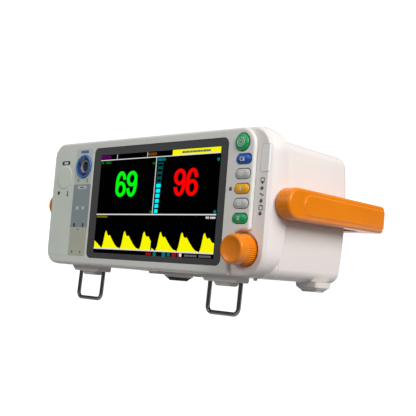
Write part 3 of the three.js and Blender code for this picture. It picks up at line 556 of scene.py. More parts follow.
def collar_shell():
    """Rings from the front face over its rounding, out along the cheek and over the rear rim."""
    front, edge, rim = COLLAR["front"], COLLAR["edge"], COLLAR["rim"]
    rings = []
    for step in range(7):
        angle = math.radians(90 * step / 6)
        y = front + edge * (1 - math.cos(angle))
        inset = edge * (1 - math.sin(angle))
        rings.append(collar_ring(inset, lambda z, y=y: y, True))
    for y in (7.2, 8.6, 10.4):
        rings.append(collar_ring(0, lambda z, y=y: min(y, collar_depth(z) - rim), True))
    for step in range(5):
        share = step / 5
        rings.append(collar_ring(0, lambda z, s=share: cheek_depth(z, s), True))
    for step in range(6):
        angle = math.radians(90 * step / 5)
        setback = rim * (1 - math.sin(angle))
        rings.append(collar_ring(rim * (1 - math.cos(angle)), lambda z, s=setback: collar_depth(z) - s))
    for inset in (1.8, 2.6, 3.6, 5, 6.5, 8):
        rings.append(collar_ring(inset, collar_depth))
    return loft(rings)


def cheek_depth(z, share):
    """A depth between the cheek's front part and the collar's rear rim."""
    start = min(11.5, collar_depth(z) - COLLAR["rim"])
    return start + (collar_depth(z) - COLLAR["rim"] - start) * share


def tapered_block(x, y, half_x, half_y, bottom, top, draft, foot=0.8, radius=3):
    """A block with drawn-in sides and a rounded lower edge."""
    angles = [math.radians(90 * step / 4) for step in range(5)]
    levels = [(bottom + foot * (1 - math.cos(a)), draft + foot * (1 - math.sin(a))) for a in angles]
    levels.append((top, 0))
    rings = []
    for z, inset in levels:
        corner = max(radius - inset / 3, 0.8)
        wide, deep = half_x - inset, half_y - inset
        outline = rounded(x - wide, y - deep, x + wide, y + deep, corner)
        rings.append([(px, py, z) for px, py in outline])
    return loft(rings)


def stand_boss(side):
    """The block under the case that holds a wire stand: sloped on its left, slotted for the two legs."""
    x = side * BAIL["x"]
    left, right = x - FRONT_BOSS["half"], x + FRONT_BOSS["half"]
    front, back, bottom = FRONT_BOSS["front"], FRONT_BOSS["back"], FRONT_BOSS["bottom"]
    outline = [(left, 1), (left, -0.3), (left + FRONT_BOSS["ramp"], bottom)]
    outline += [(right - 0.9, bottom), (right, bottom + 1.8), (right, 1)]
    body = slab([outline], front, back, 0.7)
    slot = FRONT_BOSS["slot"]
    legs = []
    for end in (-1, 1):
        leg = x + end * BAIL["half"]
        legs.append(block(leg - slot, BAIL["y"] - slot, -7, leg + slot, back + 1, -0.7))
    panel = rounded(left + 6.5, bottom + 1.1, right - 7.5, -1.2, 0.6, 3)
    groove = slab([panel], front - 0.2, front + 0.5)
    return cut(body, joined(*legs), groove)


def front_housing():
    neck = loft([box_ring(13, 0), box_ring(24.25, 0), box_ring(24.6, 0.4)])
    hub = rod(KNOB["x"], KNOB["z"], 16.5, 5, 8.2, 48)
    shell = combined(collar_shell(), [neck], "UNION")
    screen = rounded(SCREEN["left"] - 3, SCREEN["bottom"] - 2, SCREEN["right"] + 3, SCREEN["top"] + 3, 2, 3)
    lens = lens_outline(0.12)
    shell = cut(
        shell,
        slab([rounded(-137.4, 2.5, 133.4, 114.2, (13, 17, 17, 13), 6)], 5.8, 9.5),
        slab([rounded(-137.4, 2.5, 135.6, 110.5, (13, 17, 17, 13), 6)], 9.4, 14),
        loft([box_ring(13.8, 2.6), box_ring(26, 2.6)]),
    )
    shell = combined(shell, [hub], "UNION")
    shell = cut(
        shell,
        slab([screen], 2, 7),
        slab([rounded(101.8, 36.5, 120.2, 113, (3, 3, 9, 3), 4)], 2, 7),
        rod(KNOB["x"], KNOB["z"], KNOB["recess"], 0, KNOB["floor"], 64),
        rod(KNOB["x"], KNOB["z"], 3.3, 4, 10, 24),
        rod(SOCKET["x"], SOCKET["z"], SOCKET["radius"] + GAP, 2, 9),
        rod(BLANK["x"], BLANK["z"], BLANK["radius"] + GAP, 2, 9),
        slab([lens], 2, 9),
        *[rod(STATUS["x"], z, STATUS["radius"] + 0.25, 2, 9, 24) for z in STATUS["heights"]],
    )
    return joined(shell, stand_boss(-1), stand_boss(1), underside_pip())


def underside_pip():
    """A small moulded pip under the collar's right-hand end."""
    profile = [(0, 0.4), (1.7, 0.4), (1.5, -1.6), (1.0, -2.1), (0, -2.2)]
    pip = turned(profile, 0, 0, 20)
    pip.transform(Matrix.Translation((118, 17, 0)) @ Matrix.Rotation(math.pi / 2, 4, "X"))
    return pip


def rear_housing():
    back = BOX["back"]
    rings = [box_ring(24.9, 0.4), box_ring(25.3, 0)]
    for step in range(9):
        angle = math.radians(90 * step / 8)
        rings.append(box_ring(back - 7 + 7 * math.sin(angle), 6.5 * (1 - math.cos(angle))))
    cavity = loft([box_ring(24, BOX["wall"]), box_ring(back - BOX["wall"], BOX["wall"] + 2)])
    shell = cut(loft(rings), cavity)
    bosses = [rod(x, z, 5, 60, back - 2, 24) for x, z in REAR_SCREWS]
    shell = combined(shell, [joined(*bosses)], "UNION")
    height = VENTS["top"] - VENTS["bottom"]
    slots = []
    for index in range(VENTS["count"]):
        x = VENTS["left"] + VENTS["pitch"] * index
        slot = oval(x, VENTS["bottom"] + height / 2, VENTS["width"], height)
        slots.append(slab([slot], back - 8, back + 2))
    ports = []
    for _, x, z, width, tall in INLETS:
        outline = rounded(
            x - width / 2 - GAP, z - tall / 2 - GAP, x + width / 2 + GAP, z + tall / 2 + GAP, 1.5)
        ports.append(slab([outline], back - 10, back + 1))
    seats = [rod(x, z, 3.6, back - 8, back + 1) for x, z in REAR_SCREWS]
    stud = rod(STUD["x"], STUD["z"], STUD["radius"] + GAP, back - 10, back + 1)
    door = block(DOOR["left"] - GAP, DOOR["front"] - GAP, -1, DOOR["right"] + GAP, DOOR["back"] + GAP, 6)
    shell = cut(shell, joined(*slots), joined(*ports, *seats, stud), door)
    feet = [
        tapered_block(
            x, REAR_FOOT["y"], REAR_BOSS["half"], REAR_BOSS["depth"], REAR_BOSS["bottom"], 1, 0.7, 1.2
        )
        for x in REAR_FOOT["x"].values()
    ]
    return joined(shell, *feet)


# ---- Front plate ----
def key_height(index):
    return KEYS["top"] - KEYS["pitch"] * index


def plate_outline():
    """The plate's edge, with a bay round the knob at its lower right corner."""
    left, right, bottom, top = PLATE["left"], PLATE["right"], PLATE["bottom"], PLATE["top"]
    bay = KNOB["recess"] + 0.6
    shelf = KNOB["z"] + bay * math.sin(math.radians(84))
    return (
        arc(left + 14, bottom + 14, 14, 180, 270, 12)
        + [(KNOB["x"] - 12.5, bottom)]
        + arc(KNOB["x"], KNOB["z"], bay, 200, 84, 20)
        + arc(right - 2.7, shelf + 2.7, 2.7, 270, 360, 6)
        + arc(right - 15, top - 15, 15, 0, 90, 12)
        + arc(left + 14, top - 14, 14, 90, 180, 12)
    )


def front_plate():
    """The plate with a wide rounding round its outside and a small one round its holes."""
    window = rounded(
        WINDOW["left"] - GAP, WINDOW["bottom"] - GAP, WINDOW["right"] + GAP, WINDOW["top"] + GAP,
        WINDOW["radius"])
    pockets = [oval(KEYS["x"] + 0.4, key_height(index), 16.6, 8.8) for index in range(len(KEY_NAMES))]
    holes = [window, circle(SOCKET["x"], SOCKET["z"], SOCKET["radius"] + GAP), *pockets]
    holes.append(circle(POWER["x"] + 0.4, POWER["z"], POWER["radius"] + 0.9))
    edge, back = PLATE["edge"], PLATE["back"]
    body = trimmed(slab([plate_outline()], 0, back + 2 * edge, edge), back)
    sheet = slab([box_outline(-150, -10, 150, 130), *holes], -0.02, back + 1, 0.3)
    plate = combined(body, [sheet], "INTERSECT")
    plate = cut(plate, rod(WARNING["x"], WARNING["z"], WARNING["radius"] + 0.2, -1, 4, 24))
    floors = []
    for index in range(len(KEY_NAMES)):
        z = key_height(index)
        hole = oval(KEYS["x"], z, KEYS["width"] + 0.7, KEYS["height"] + 0.7)
        floors.append(slab([oval(KEYS["x"] + 0.4, z, 17.6, 10), hole], 1.0, 2.8, 0.2))
    ring = [circle(POWER["x"], POWER["z"], POWER["radius"] + 2.4), circle(POWER["x"], POWER["z"], 7.25)]
    floors.append(slab(ring, 1.0, 2.8, 0.2))
    return joined(plate, *floors)


# ---- Keys and their moulded marks ----
def domed(outline_at, front, back, edge, crown, depth):
    """A cap with a rounded edge and a slightly crowned face. outline_at gives the outline at an inset."""
    rings = [[(x, back, z) for x, z in outline_at(0)]]
    for step in range(6):
        angle = math.radians(90 * step / 5)
        inset = edge * (1 - math.cos(angle))
        y = front + crown + edge * (1 - math.sin(angle))
        rings.append([(x, y, z) for x, z in outline_at(inset)])
    for step in range(1, 5):
        share = step / 4
        inset = edge + (depth - edge) * share
        y = front + crown * (1 - share) ** 2
        rings.append([(x, y, z) for x, z in outline_at(inset)])
    return loft(rings)


def key_cap(index):
    z = key_height(index)
    width, height = KEYS["width"], KEYS["height"]

    def outline_at(inset):
        return oval(KEYS["x"], z, width - 2 * inset, height - 2 * inset)

    return domed(outline_at, KEYS["front"], KEYS["back"], 1.5, 0.35, height / 2 - 0.2)


def power_cap():
    def outline_at(inset):
        return circle(POWER["x"], POWER["z"], POWER["radius"] - inset)

    return domed(outline_at, POWER["front"], KEYS["back"], 1.8, 0.4, POWER["radius"] - 0.3)


def mark(outlines, front=None, thickness=0.3):
    """A thin printed or moulded shape that stands just proud of its surface."""
    start = KEYS["front"] - 0.06 if front is None else front
    return slab(outlines, start, start + thickness)


def key_marks():
    """A simple sign for each key: power, sound off, ring, bell, square and menu."""
    x = KEYS["x"] - 0.7
    rows = [key_height(index) for index in range(len(KEY_NAMES))]
    power_front = POWER["front"] - 0.06
    power = [
        mark(ribbon(arc(POWER["x"], POWER["z"], 1.9, 125, 415, 28), 0.5), power_front),
        mark([box_outline(POWER["x"] - 0.25, POWER["z"], POWER["x"] + 0.25, POWER["z"] + 2.3)], power_front),
        mark(ribbon(circle(POWER["x"], POWER["z"], 3.5), 0.5, closed=True), power_front),
    ]
    silence = [
        mark(ribbon(arc(x - 0.9, rows[0], 1.5, 60, 300, 14), 0.6)),
        mark([[(x + 0.3, rows[0] - 1.7), (x + 2.2, rows[0] - 1.7), (x + 1.9, rows[0] + 0.8),
               (x + 1.25, rows[0] + 1.7), (x + 0.6, rows[0] + 0.8)]]),
    ]
    ring = [mark(ribbon(circle(x, rows[1], 1.5, 24), 0.5, closed=True))]
    bell = [
        mark([[(x - 1.3, rows[2] - 1.1), (x + 1.3, rows[2] - 1.1), (x + 0.9, rows[2] - 0.3),
               (x + 0.7, rows[2] + 1.2), (x, rows[2] + 1.7), (x - 0.7, rows[2] + 1.2),
               (x - 0.9, rows[2] - 0.3)]]),
        mark([circle(x, rows[2] - 1.6, 0.4, 12)]),
    ]
    square = [mark(ribbon(rounded(x - 1.3, rows[3] - 1.3, x + 1.3, rows[3] + 1.3, 0.4, 3), 0.5, closed=True))]
    menu = [
        mark([box_outline(x - 1.3, rows[4] + lift - 0.3, x + 1.3, rows[4] + lift + 0.3)])
        for lift in (-1.2, 0, 1.2)
    ]
    return {
        "power": joined(*power), "blue": joined(*silence), "grey_upper": joined(*ring),
        "amber": joined(*bell), "grey_lower": joined(*square), "green": joined(*menu),
    }


def add_keys():
    looks = {
        "power": (KEY_GREEN, "key_green"), "blue": (KEY_BLUE, "key_blue"),
        "grey_upper": (KEY_GREY, "key_grey"), "amber": (KEY_AMBER, "key_amber"),
        "grey_lower": (KEY_GREY, "key_grey"), "green": (KEY_GREEN, "key_green"),
    }
    caps = {name: key_cap(index) for index, name in enumerate(KEY_NAMES)}
    caps["power"] = power_cap()
    marks = key_marks()
    for name, (look, slot) in looks.items():
        body = f"key_{name}_body"
        piece(f"cap_{name}", caps[name], look, body, [f"key_{name}"], sharp=50)
        print_look = ICON_WHITE if slot == "key_grey" else ICON_LIGHT
        piece(f"cap_mark_{name}", marks[name], print_look, body)


# ---- Knob ----
def knob():
    """A dished cap on a finely ribbed base."""
    front, back, base, cap = KNOB["front"], KNOB["back"], KNOB["base"], KNOB["cap"]
    profile = [(0, front + 1.3), (3, front + 1.25), (6, front + 1.0), (cap - 3.2, front + 0.5)]
    profile += [(cap - 2.4, front + 0.15), (cap - 1.7, front), (cap - 0.9, front + 0.25)]
    profile += [(cap - 0.35, front + 0.85), (cap - 0.05, front + 1.8)]
    smooth_end = -5.2
    for step in range(1, 5):
        share = step / 4
        profile.append((cap + 0.55 * share, front + 1.8 + (smooth_end - front - 1.8) * share))
    ribs_from = len(profile)
    for step in range(9):
        share = step / 8
        reach = cap + 0.55 + (base - cap - 0.55) * share
        profile.append((reach, smooth_end + 0.6 + (back - 1.2 - smooth_end) * share))
    ribs_to = len(profile) - 1
    profile += [(base - 0.5, back), (3.4, back), (3.4, -8), (0, -8)]
    return turned(profile, KNOB["x"], KNOB["z"], 276, 46, 0.5, (ribs_from, ribs_to))


# ---- Carry handle ----
def smooth_step(share):
    share = min(1, max(0, share))
    return share * share * (3 - 2 * share)


def panel_lift(y, z, half):
    """How far the raised panel stands out at a point of the handle's outer face."""
    centre = HANDLE["panel_start"] + half
    inside = half - (math.hypot(centre - y, z) if y < centre else abs(z))
    return HANDLE["lift"] * smooth_step(inside / HANDLE["soft"])


def handle_profile(half, panel, depth_along):
    """Half of the handle's section, from its inner face over the top to the middle of its outer face.

    Each entry is (on the outer path, how far out from that path, height).
    """
    turns = [math.radians(90 * step / 6) for step in range(7)]
    near, far = HANDLE["inner_rounding"], HANDLE["outer_rounding"]
    points = [(False, 0, 0)]
    points += [(False, near * (1 - math.cos(a)), half - near + near * math.sin(a)) for a in turns]
    points += [(True, -far * (1 - math.cos(a)), half - far + far * math.sin(a)) for a in reversed(turns)]
    heights = [panel + 0.5] + [panel - 0.25 * step for step in range(9)]
    heights += [panel * share for share in (0.5, 0.33, 0.16, 0)]
    points += [(True, panel_lift(depth_along, z, panel), z) for z in heights]
    return points


def handle_stations():
    """Places along the right half of the handle: inner point, outer point, outward direction and depth."""
    inner, outer = HANDLE["inner"], HANDLE["outer"]
    inside_turn = HANDLE["grip_front"] - HANDLE["inside_corner"]
    outside_turn = HANDLE["grip_back"] - HANDLE["corner"]
    start = PIVOT[0]
    depths = [start + 0.35 * step for step in range(44)]
    depths += [start + 15.4 + (outside_turn - start - 15.4) * step / 10 for step in range(11)]
    stations = []
    for depth in depths:
        share = (depth - start) / (outside_turn - start)
        inside = start + (inside_turn - start) * share**1.3
        stations.append(((inner, inside), (outer, depth), (1, 0), depth))
    centre_in = (inner - HANDLE["inside_corner"], inside_turn)
    centre_out = (outer - HANDLE["corner"], outside_turn)
    for step in range(1, 15):
        angle = math.radians(90 * step / 14)
        normal = (math.cos(angle), math.sin(angle))
        point_in = tuple(c + HANDLE["inside_corner"] * n for c, n in zip(centre_in, normal))
        point_out = tuple(c + HANDLE["corner"] * n for c, n in zip(centre_out, normal))
        stations.append((point_in, point_out, normal, outside_turn + step))
    for step in range(1, 9):
        share = 1 - step / 8
        point_in = (centre_in[0] * share, HANDLE["grip_front"])
        point_out = (centre_out[0] * share, HANDLE["grip_back"])
        stations.append((point_in, point_out, (0, 1), HANDLE["grip_back"] + step))
    return stations


def carry_handle():
    tail_at = HANDLE["grip_back"]
    rings = []
    for point_in, point_out, normal, depth in handle_stations():
        share = min(1, (depth - PIVOT[0]) / (tail_at - PIVOT[0]))
        half = HANDLE["radius"] + (HANDLE["tail"] - HANDLE["radius"]) * share
        panel = HANDLE["panel"] + (HANDLE["panel_tail"] - HANDLE["panel"]) * share
        ring = []
        profile = handle_profile(half, panel, depth)
        lower = [(outer, reach, -z) for outer, reach, z in reversed(profile[1:-1])]
        for outer, reach, z in profile + lower:
            base = point_out if outer else point_in
            ring.append((base[0] + normal[0] * reach, base[1] + normal[1] * reach, PIVOT[1] + z))
        rings.append(ring)
    arm = loft(rings, capped=False)
    hub_rings = []
    profile = handle_profile(HANDLE["radius"], HANDLE["panel"], 0)
    for step in range(37):
        angle = math.pi * step / 36
        ring = []
        for outer, reach, z in profile:
            x = (HANDLE["outer"] if outer else HANDLE["inner"]) + reach
            ring.append((x, PIVOT[0] - z * math.sin(angle), PIVOT[1] + z * math.cos(angle)))
        hub_rings.append(ring)
    hub = strip(hub_rings)
    return mirrored(joined(arm, hub))


def strip(rows):
    """An open sheet through rows of equally many points."""
    size = len(rows[0])
    faces = []
    for row in range(len(rows) - 1):
        for step in range(size - 1):
            here = row * size + step
            faces.append((here, here + 1, here + 1 + size, here + size))
    return mesh_from([point for row in rows for point in row], faces)


# ---- Wire stands and feet ----
def stand_path(side):
    """The middle of the wire, from one stub over the two legs and the bar to the other stub."""
    slope = math.tan(math.radians(BAIL["lean"]))
    drop = BAIL["z"] - BAIL["bar"]
    half, stub = BAIL["half"], BAIL["stub"]
    corners = [
        ((-half + stub, 0), 0), ((-half, 0), 2.2), ((-half, drop), BAIL["bend"]),
        ((half, drop), BAIL["bend"]), ((half, 0), 2.2), ((half - stub, 0), 0),
    ]
    flat = [corners[0][0]]
    for (before, _), (corner, radius), (after, _) in zip(corners, corners[1:], corners[2:]):
        flat += rounded_corner(before, corner, after, radius)
    flat.append(corners[-1][0])
    return [(side * BAIL["x"] + across, BAIL["y"] - down * slope, BAIL["z"] - down) for across, down in flat]


def rounded_corner(before, corner, after, radius, steps=8):
    """Points of a quarter circle that rounds a right-angled corner."""
    here = Vector(corner)
    enter = (Vector(before) - here).normalized() * radius
    leave = (Vector(after) - here).normalized() * radius
    centre = here + enter + leave
    points = []
    for step in range(steps + 1):
        angle = math.radians(90 * step / steps)
        points.append(tuple(centre - leave * math.cos(angle) - enter * math.sin(angle)))
    return points


def add_stands_and_feet():
    for name, side in (("left", -1), ("right", 1)):
        wire = tube(stand_path(side), BAIL["wire"])
        node = f"wire_stand_{name}"
        piece(f"stand_wire_{name}", wire, WIRE_PAINTED_DARK_REFLECTION, f"stand_{name}", [node], sharp=60)
        front, back = FRONT_PAD["front"], FRONT_PAD["back"]
        pad = tapered_block(
            side * BAIL["x"] + FRONT_PAD["offset"], (front + back) / 2, FRONT_PAD["half"], (back - front) / 2,
            FRONT_PAD["bottom"], FRONT_BOSS["bottom"] + 0.1, 1.2, 1.6, 4)
        piece(f"pad_{name}", pad, FOOT_PAINTED_LIGHT, "case", [f"front_pad_{name}"])
    for name, x in REAR_FOOT["x"].items():
        half, depth, bottom = REAR_FOOT["half"], REAR_FOOT["depth"], REAR_FOOT["bottom"]
        seam = REAR_BOSS["bottom"] - 0.9
        foot = tapered_block(x, REAR_FOOT["y"], half, depth, bottom, seam, 1.4, 0.9)
        lip = tapered_block(x, REAR_FOOT["y"], half + 0.7, depth + 0.7, seam, -3.9, 0.1, 0.2)
        # The two rear feet are one rubber: the outer gets the pale copy with painted light, the inner the dark
        # copy with painted shade.
        look = FOOT_PAINTED_LIGHT if name == "outer" else FOOT_PAINTED_SHADE
        piece(f"foot_{name}", joined(foot, lip), look, "case", [f"rear_foot_{name}"])


# ---- Left panel: labels, blank cover and sensor socket ----
def glyphs(left, bottom, right, top, pattern, front, gap=0.28):
    """A row of small plain blocks that stands for a caption. The pattern gives their relative widths."""
    unit = (right - left - gap * (len(pattern) - 1)) / sum(pattern)
    blocks = []
    x = left
    for width in pattern:
        outline = box_outline(x, bottom, x + width * unit, top)
        blocks.append(slab([outline], front, front + 0.1))
        x += width * unit + gap
    return joined(*blocks)


def add_labels():
    left, right, bottom, top = PORTS["left"], PORTS["right"], PORTS["bottom"], PORTS["top"]
    column, radius = PORTS["column"], PORTS["radius"]
    socket_hole = circle(SOCKET["x"], SOCKET["z"], SOCKET["radius"] + 0.2)
    front, back = -0.12, 0.35
    sheets = {
        "port_label": (
            [rounded(left, bottom, column - 0.05, top, (radius, 0.2, 0.2, radius))],
            LABEL_PALE, "label_pale"),
        "spo2_label": (
            [rounded(column + 0.05, SPLITS[1] + 0.05, right, top, (0.2, 0.2, radius, 0.2)), socket_hole],
            LABEL_LIGHT, "label_light"),
        "sensor_label": (
            [box_outline(column + 0.05, SPLITS[0] + 0.05, right, SPLITS[1])], LABEL_GREY, "label_grey"),
        "auxiliary_label": (
            [rounded(column + 0.05, bottom, right, SPLITS[0], (0.2, radius, 0.2, 0.2))],
            LABEL_OLIVE, "label_olive"),
    }
    for node, (outlines, look, slot) in sheets.items():
        edge = 0.0 if node == "sensor_label" else 0.08
        piece(f"printed_{node}", slab(outlines, front, back, edge), look, "case", [node])
    prints = {
        "print_dark": (ICON_DARK, [
            slab([oval(-119, 97.9, 12.6, 4.0), oval(-119, 97.9, 6.6, 2.2)], -0.2, -0.1),
            slab([circle(-127, 68.7, 1.9, 20)], -0.2, -0.1),
            slab([circle(-97.6, 38, 1.5, 20)], -0.2, -0.1),
            slab([box_outline(-98.7, 34.9 + 0.9, -96.5, 36.6)], -0.2, -0.1),
            slab([circle(-84.4, 38.4, 1.2, 20)], -0.2, -0.1),
            slab([box_outline(-85.2, 35.9, -83.6, 37.4)], -0.2, -0.1),
        ]),
        "print_soft": (ICON_SOFT, [
            slab([circle(-112.6, 69.4, 1.1, 16)], -0.2, -0.1),
            slab([oval(-112.6, 66.6, 2.2, 3.4)], -0.2, -0.1),
            slab([circle(-97, 80.2, 1.5, 20), circle(-97, 80.2, 0.8, 16)], -0.2, -0.1),
            slab([circle(-83.8, 81.2, 0.9, 16)], -0.2, -0.1),
            slab([[(-85.1, 78.3), (-82.5, 78.3), (-83.8, 81.4)]], -0.2, -0.1),
            slab([circle(-97.5, 12.2, 1.3, 20)], -0.2, -0.1),
            slab([oval(-85, 12.3, 1.8, 3.0)], -0.2, -0.1),
            slab([oval(-91.2, 33.4, 5.0, 1.1)], -0.24, -0.1),
            slab([oval(-90.3, 73.5, 6.2, 1.3)], -0.24, -0.1),
        ]),
        "print_light": (ICON_LIGHT, [
            slab([oval(-90.4, 73.5, 13.6, 3.1)], -0.2, -0.1),
            slab([circle(-95.1, 53.9, 1.9, 24)], -0.2, -0.1),
            slab([circle(-86.4, 53.9, 1.9, 24)], -0.2, -0.1),
        ]),
        "print_stone": (LABEL_LIGHT, [slab([oval(-91.4, 33.4, 9.6, 2.4)], -0.2, -0.1)]),
    }
    for name, (look, shapes) in prints.items():
        piece(name, joined(*shapes), look, "case")
    piece("print_blue", glyphs(-96.5, 106.3, -85, 109, (2, 3, 2, 3), -0.2), RING_BLUE, "case")
    rim = BLANK["radius"]
    cover = [(0, -0.55), (rim - 1.6, -0.6), (rim - 0.7, -0.5)]
    cover += [(rim - 0.25, -0.15), (rim - 0.2, 0.1), (rim - 0.2, 9), (0, 9)]
    disc = turned(cover, BLANK["x"], BLANK["z"])
    piece("blank_cover", disc, LABEL_PALE, "case", ["blank_port_cover"])


def add_socket():
    """The sensor socket: a bright rim, a dark funnel, a light collar and a keyed insert."""
    x, z, radius = SOCKET["x"], SOCKET["z"], SOCKET["radius"]
    rim = [(radius - 2.2, 0.6), (radius - 2.0, -1.0), (radius - 1.5, -1.5), (radius - 0.8, -1.6)]
    rim += [(radius - 0.2, -1.3), (radius, -0.7), (radius, 9), (radius - 2.2, 9), (radius - 2.2, 0.6)]
    piece("socket_rim", turned(rim, x, z), RING_BLUE, "case", ["spo2_socket_shell"])
    funnel = [(8.95, 9), (8.95, -0.6), (8.5, -0.7), (7.4, 0.4), (6.5, 1.6), (6.3, 2.6), (6.3, 9), (8.95, 9)]
    piece("socket_funnel", turned(funnel, x, z), RING_NAVY, "case")
    collar = [(6.25, 9), (6.25, 1.2), (5.9, 0.7), (5.5, 0.7), (5.2, 1.1), (5.2, 9), (6.25, 9)]
    piece("socket_collar", turned(collar, x, z), RING_LIGHT, "case")
    face = rod(x, z, 5.15, 3, 12.4, 48)
    keyway = block(x - 1.2, 2, z + 3.2, x + 1.2, 8, z + 6)
    pins = [rod(x + 2.6 * math.cos(a), z + 2.6 * math.sin(a), 0.55, 2, 8, 16) for a in
            [math.radians(turn) for turn in (-150, -90, -30, 30, 150)]]
    insert = cut(face, keyway, joined(*pins))
    piece("socket_insert", insert, BLACK, "case", ["spo2_socket_insert"])


# ---- Right strip: lens, status lights and their signs ----
def lens_outline(grow=0.0):
    return rounded(
        LENS["left"] - grow, LENS["bottom"] - grow, LENS["right"] + grow, LENS["top"] + grow, 1.6, 6)


def cheek_front(x):
    """How far back the cheek's surface lies at a place across."""
    for (x0, y0), (x1, y1) in zip(CHEEK, CHEEK[1:]):
        if x <= x1:
            return y0 + (y1 - y0) * max(0, x - x0) / (x1 - x0)
    return CHEEK[-1][1]


def alarm_lens():
    """The lens follows the case round its corner onto the cheek."""
    mesh = slab([lens_outline(-0.05)], LENS["front"], LENS["back"], 0.4)
    work = bmesh.new()
    work.from_mesh(mesh)
    for step in range(12):
        everything = work.verts[:] + work.edges[:] + work.faces[:]
        place = (133.4 + 0.3 * step, 0, 0)
        bmesh.ops.bisect_plane(work, geom=everything, dist=0.0001, plane_co=place, plane_no=(1, 0, 0))
    work.to_mesh(mesh)
    work.free()
    for vertex in mesh.vertices:
        if vertex.co.y < LENS["back"] - 1:
            vertex.co.y += cheek_front(vertex.co.x) - COLLAR["front"]
    return cleaned(mesh)


def add_strip():
    piece("light_guide", alarm_lens(), LENS_CLEAR, "case", ["alarm_lens"])
    for index, z in enumerate(STATUS["heights"]):
        bulb = [(0, 2.75), (0.6, 2.8), (1.0, 2.98), (1.25, 3.35), (1.3, 3.8), (1.3, 9), (0, 9)]
        piece(
            f"status_light_{index + 1}", turned(bulb, STATUS["x"], z, 32), LED_GREEN, "case",
            [f"status_led_{index + 1}"])
    bulb = [(0, -0.6), (0.7, -0.5), (1.15, -0.2), (1.4, 0.3), (1.45, 0.8), (1.45, 6.4), (0, 6.4)]
    piece(
        "warning_light", turned(bulb, WARNING["x"], WARNING["z"], 32), LED_RED, "case",
        ["warning_led"])
    x, front = STATUS["x"] + 0.2, COLLAR["front"] - 0.06
    plug_z, battery_z, wave_z = 74.4, 53.8, 63.9
    battery = rounded(x - 1.8, battery_z - 1.8, x + 1.8, battery_z + 1.4, 0.7, 4)
    wave = [(x - 1.9 + 0.2 * step, wave_z + 0.75 * math.sin(step * math.pi / 9.5)) for step in range(20)]
    signs = [
        mark(ribbon(rounded(x - 1.8, plug_z - 0.6, x + 1.8, plug_z + 2.4, 0.8, 4), 0.6, closed=True), front),
        mark([box_outline(x - 0.45, plug_z - 2.5, x + 0.45, plug_z - 0.8)], front),
        mark([box_outline(x - 1.5, plug_z - 1.5, x + 1.5, plug_z - 0.7)], front),
        mark(ribbon(wave, 0.7), front),
        mark(ribbon(battery, 0.6, closed=True), front),
        mark([box_outline(x - 0.8, battery_z + 1.5, x + 0.8, battery_z + 2.2)], front),
    ]
    piece("strip_signs", joined(*signs), ICON_DARK, "case")


# ---- Display ----
def lit(outlines, layer=0):
    """A lit shape that lies on the display, in one of a few thin layers."""
    front = WINDOW["front"] - 0.06 - 0.02 * layer
    return slab(outlines, front, WINDOW["front"] + 0.02)


def lit_box(left, bottom, right, top, layer=0):
    return lit([box_outline(left, bottom, right, top)], layer)


def lit_glyphs(left, bottom, right, top, pattern, layer=0):
    front = WINDOW["front"] - 0.06 - 0.02 * layer
    return glyphs(left, bottom, right, top, pattern, front)


def ellipse(x, z, wide, tall, start, end, steps=28):
    """Points along an ellipse between two angles in degrees."""
    return [(x + (px - x) * wide, z + (pz - z) * tall) for px, pz in arc(x, z, 1, start, end, steps)]


def numeral_six(x, z, turned_over=False):
    """A bold six, or a nine when it is turned over, centred on (x, z)."""
    sign = -1 if turned_over else 1
    bowl = ellipse(0, -4.6, 3.9, 5.5, 0, 360, 40)[:-1]
    hook = ellipse(0, 0.7, 3.9, 9.5, 20, 178, 26) + [(-3.9, -4.55)]
    shapes = []
    for layer, (points, closed) in enumerate(((bowl, True), (hook, False))):
        outlines = ribbon(points, 3.1, closed)
        placed = [
            [(x + sign * 1.32 * px, z + sign * pz) for px, pz in outline] for outline in outlines
        ]
        shapes.append(lit(placed, layer))
    return joined(*shapes)


def pulse(start, end=None):
    """One filled pulse wave: a steep rise, a peak, a notch, a second hump and a straight fall."""
    base = 17.6
    shape = [
        (0, 0.3), (1.3, 3.2), (3.3, 13.6), (4.3, 15.3), (5.2, 15.0), (6.4, 12.3), (8.3, 10.7), (9.5, 11.4),
        (10.8, 11.0), (13.2, 8.0), (17.5, 3.6), (21.5, 0.7), (25.2, 0.1),
    ]
    top = [(start + x, base + lift) for x, lift in shape if end is None or start + x < end]
    if end is not None:
        last = top[-1]
        top.append((end, last[1] - 0.6))
    return lit([[(top[0][0], base - 0.9), (top[-1][0], base - 0.9), *top[::-1]]])


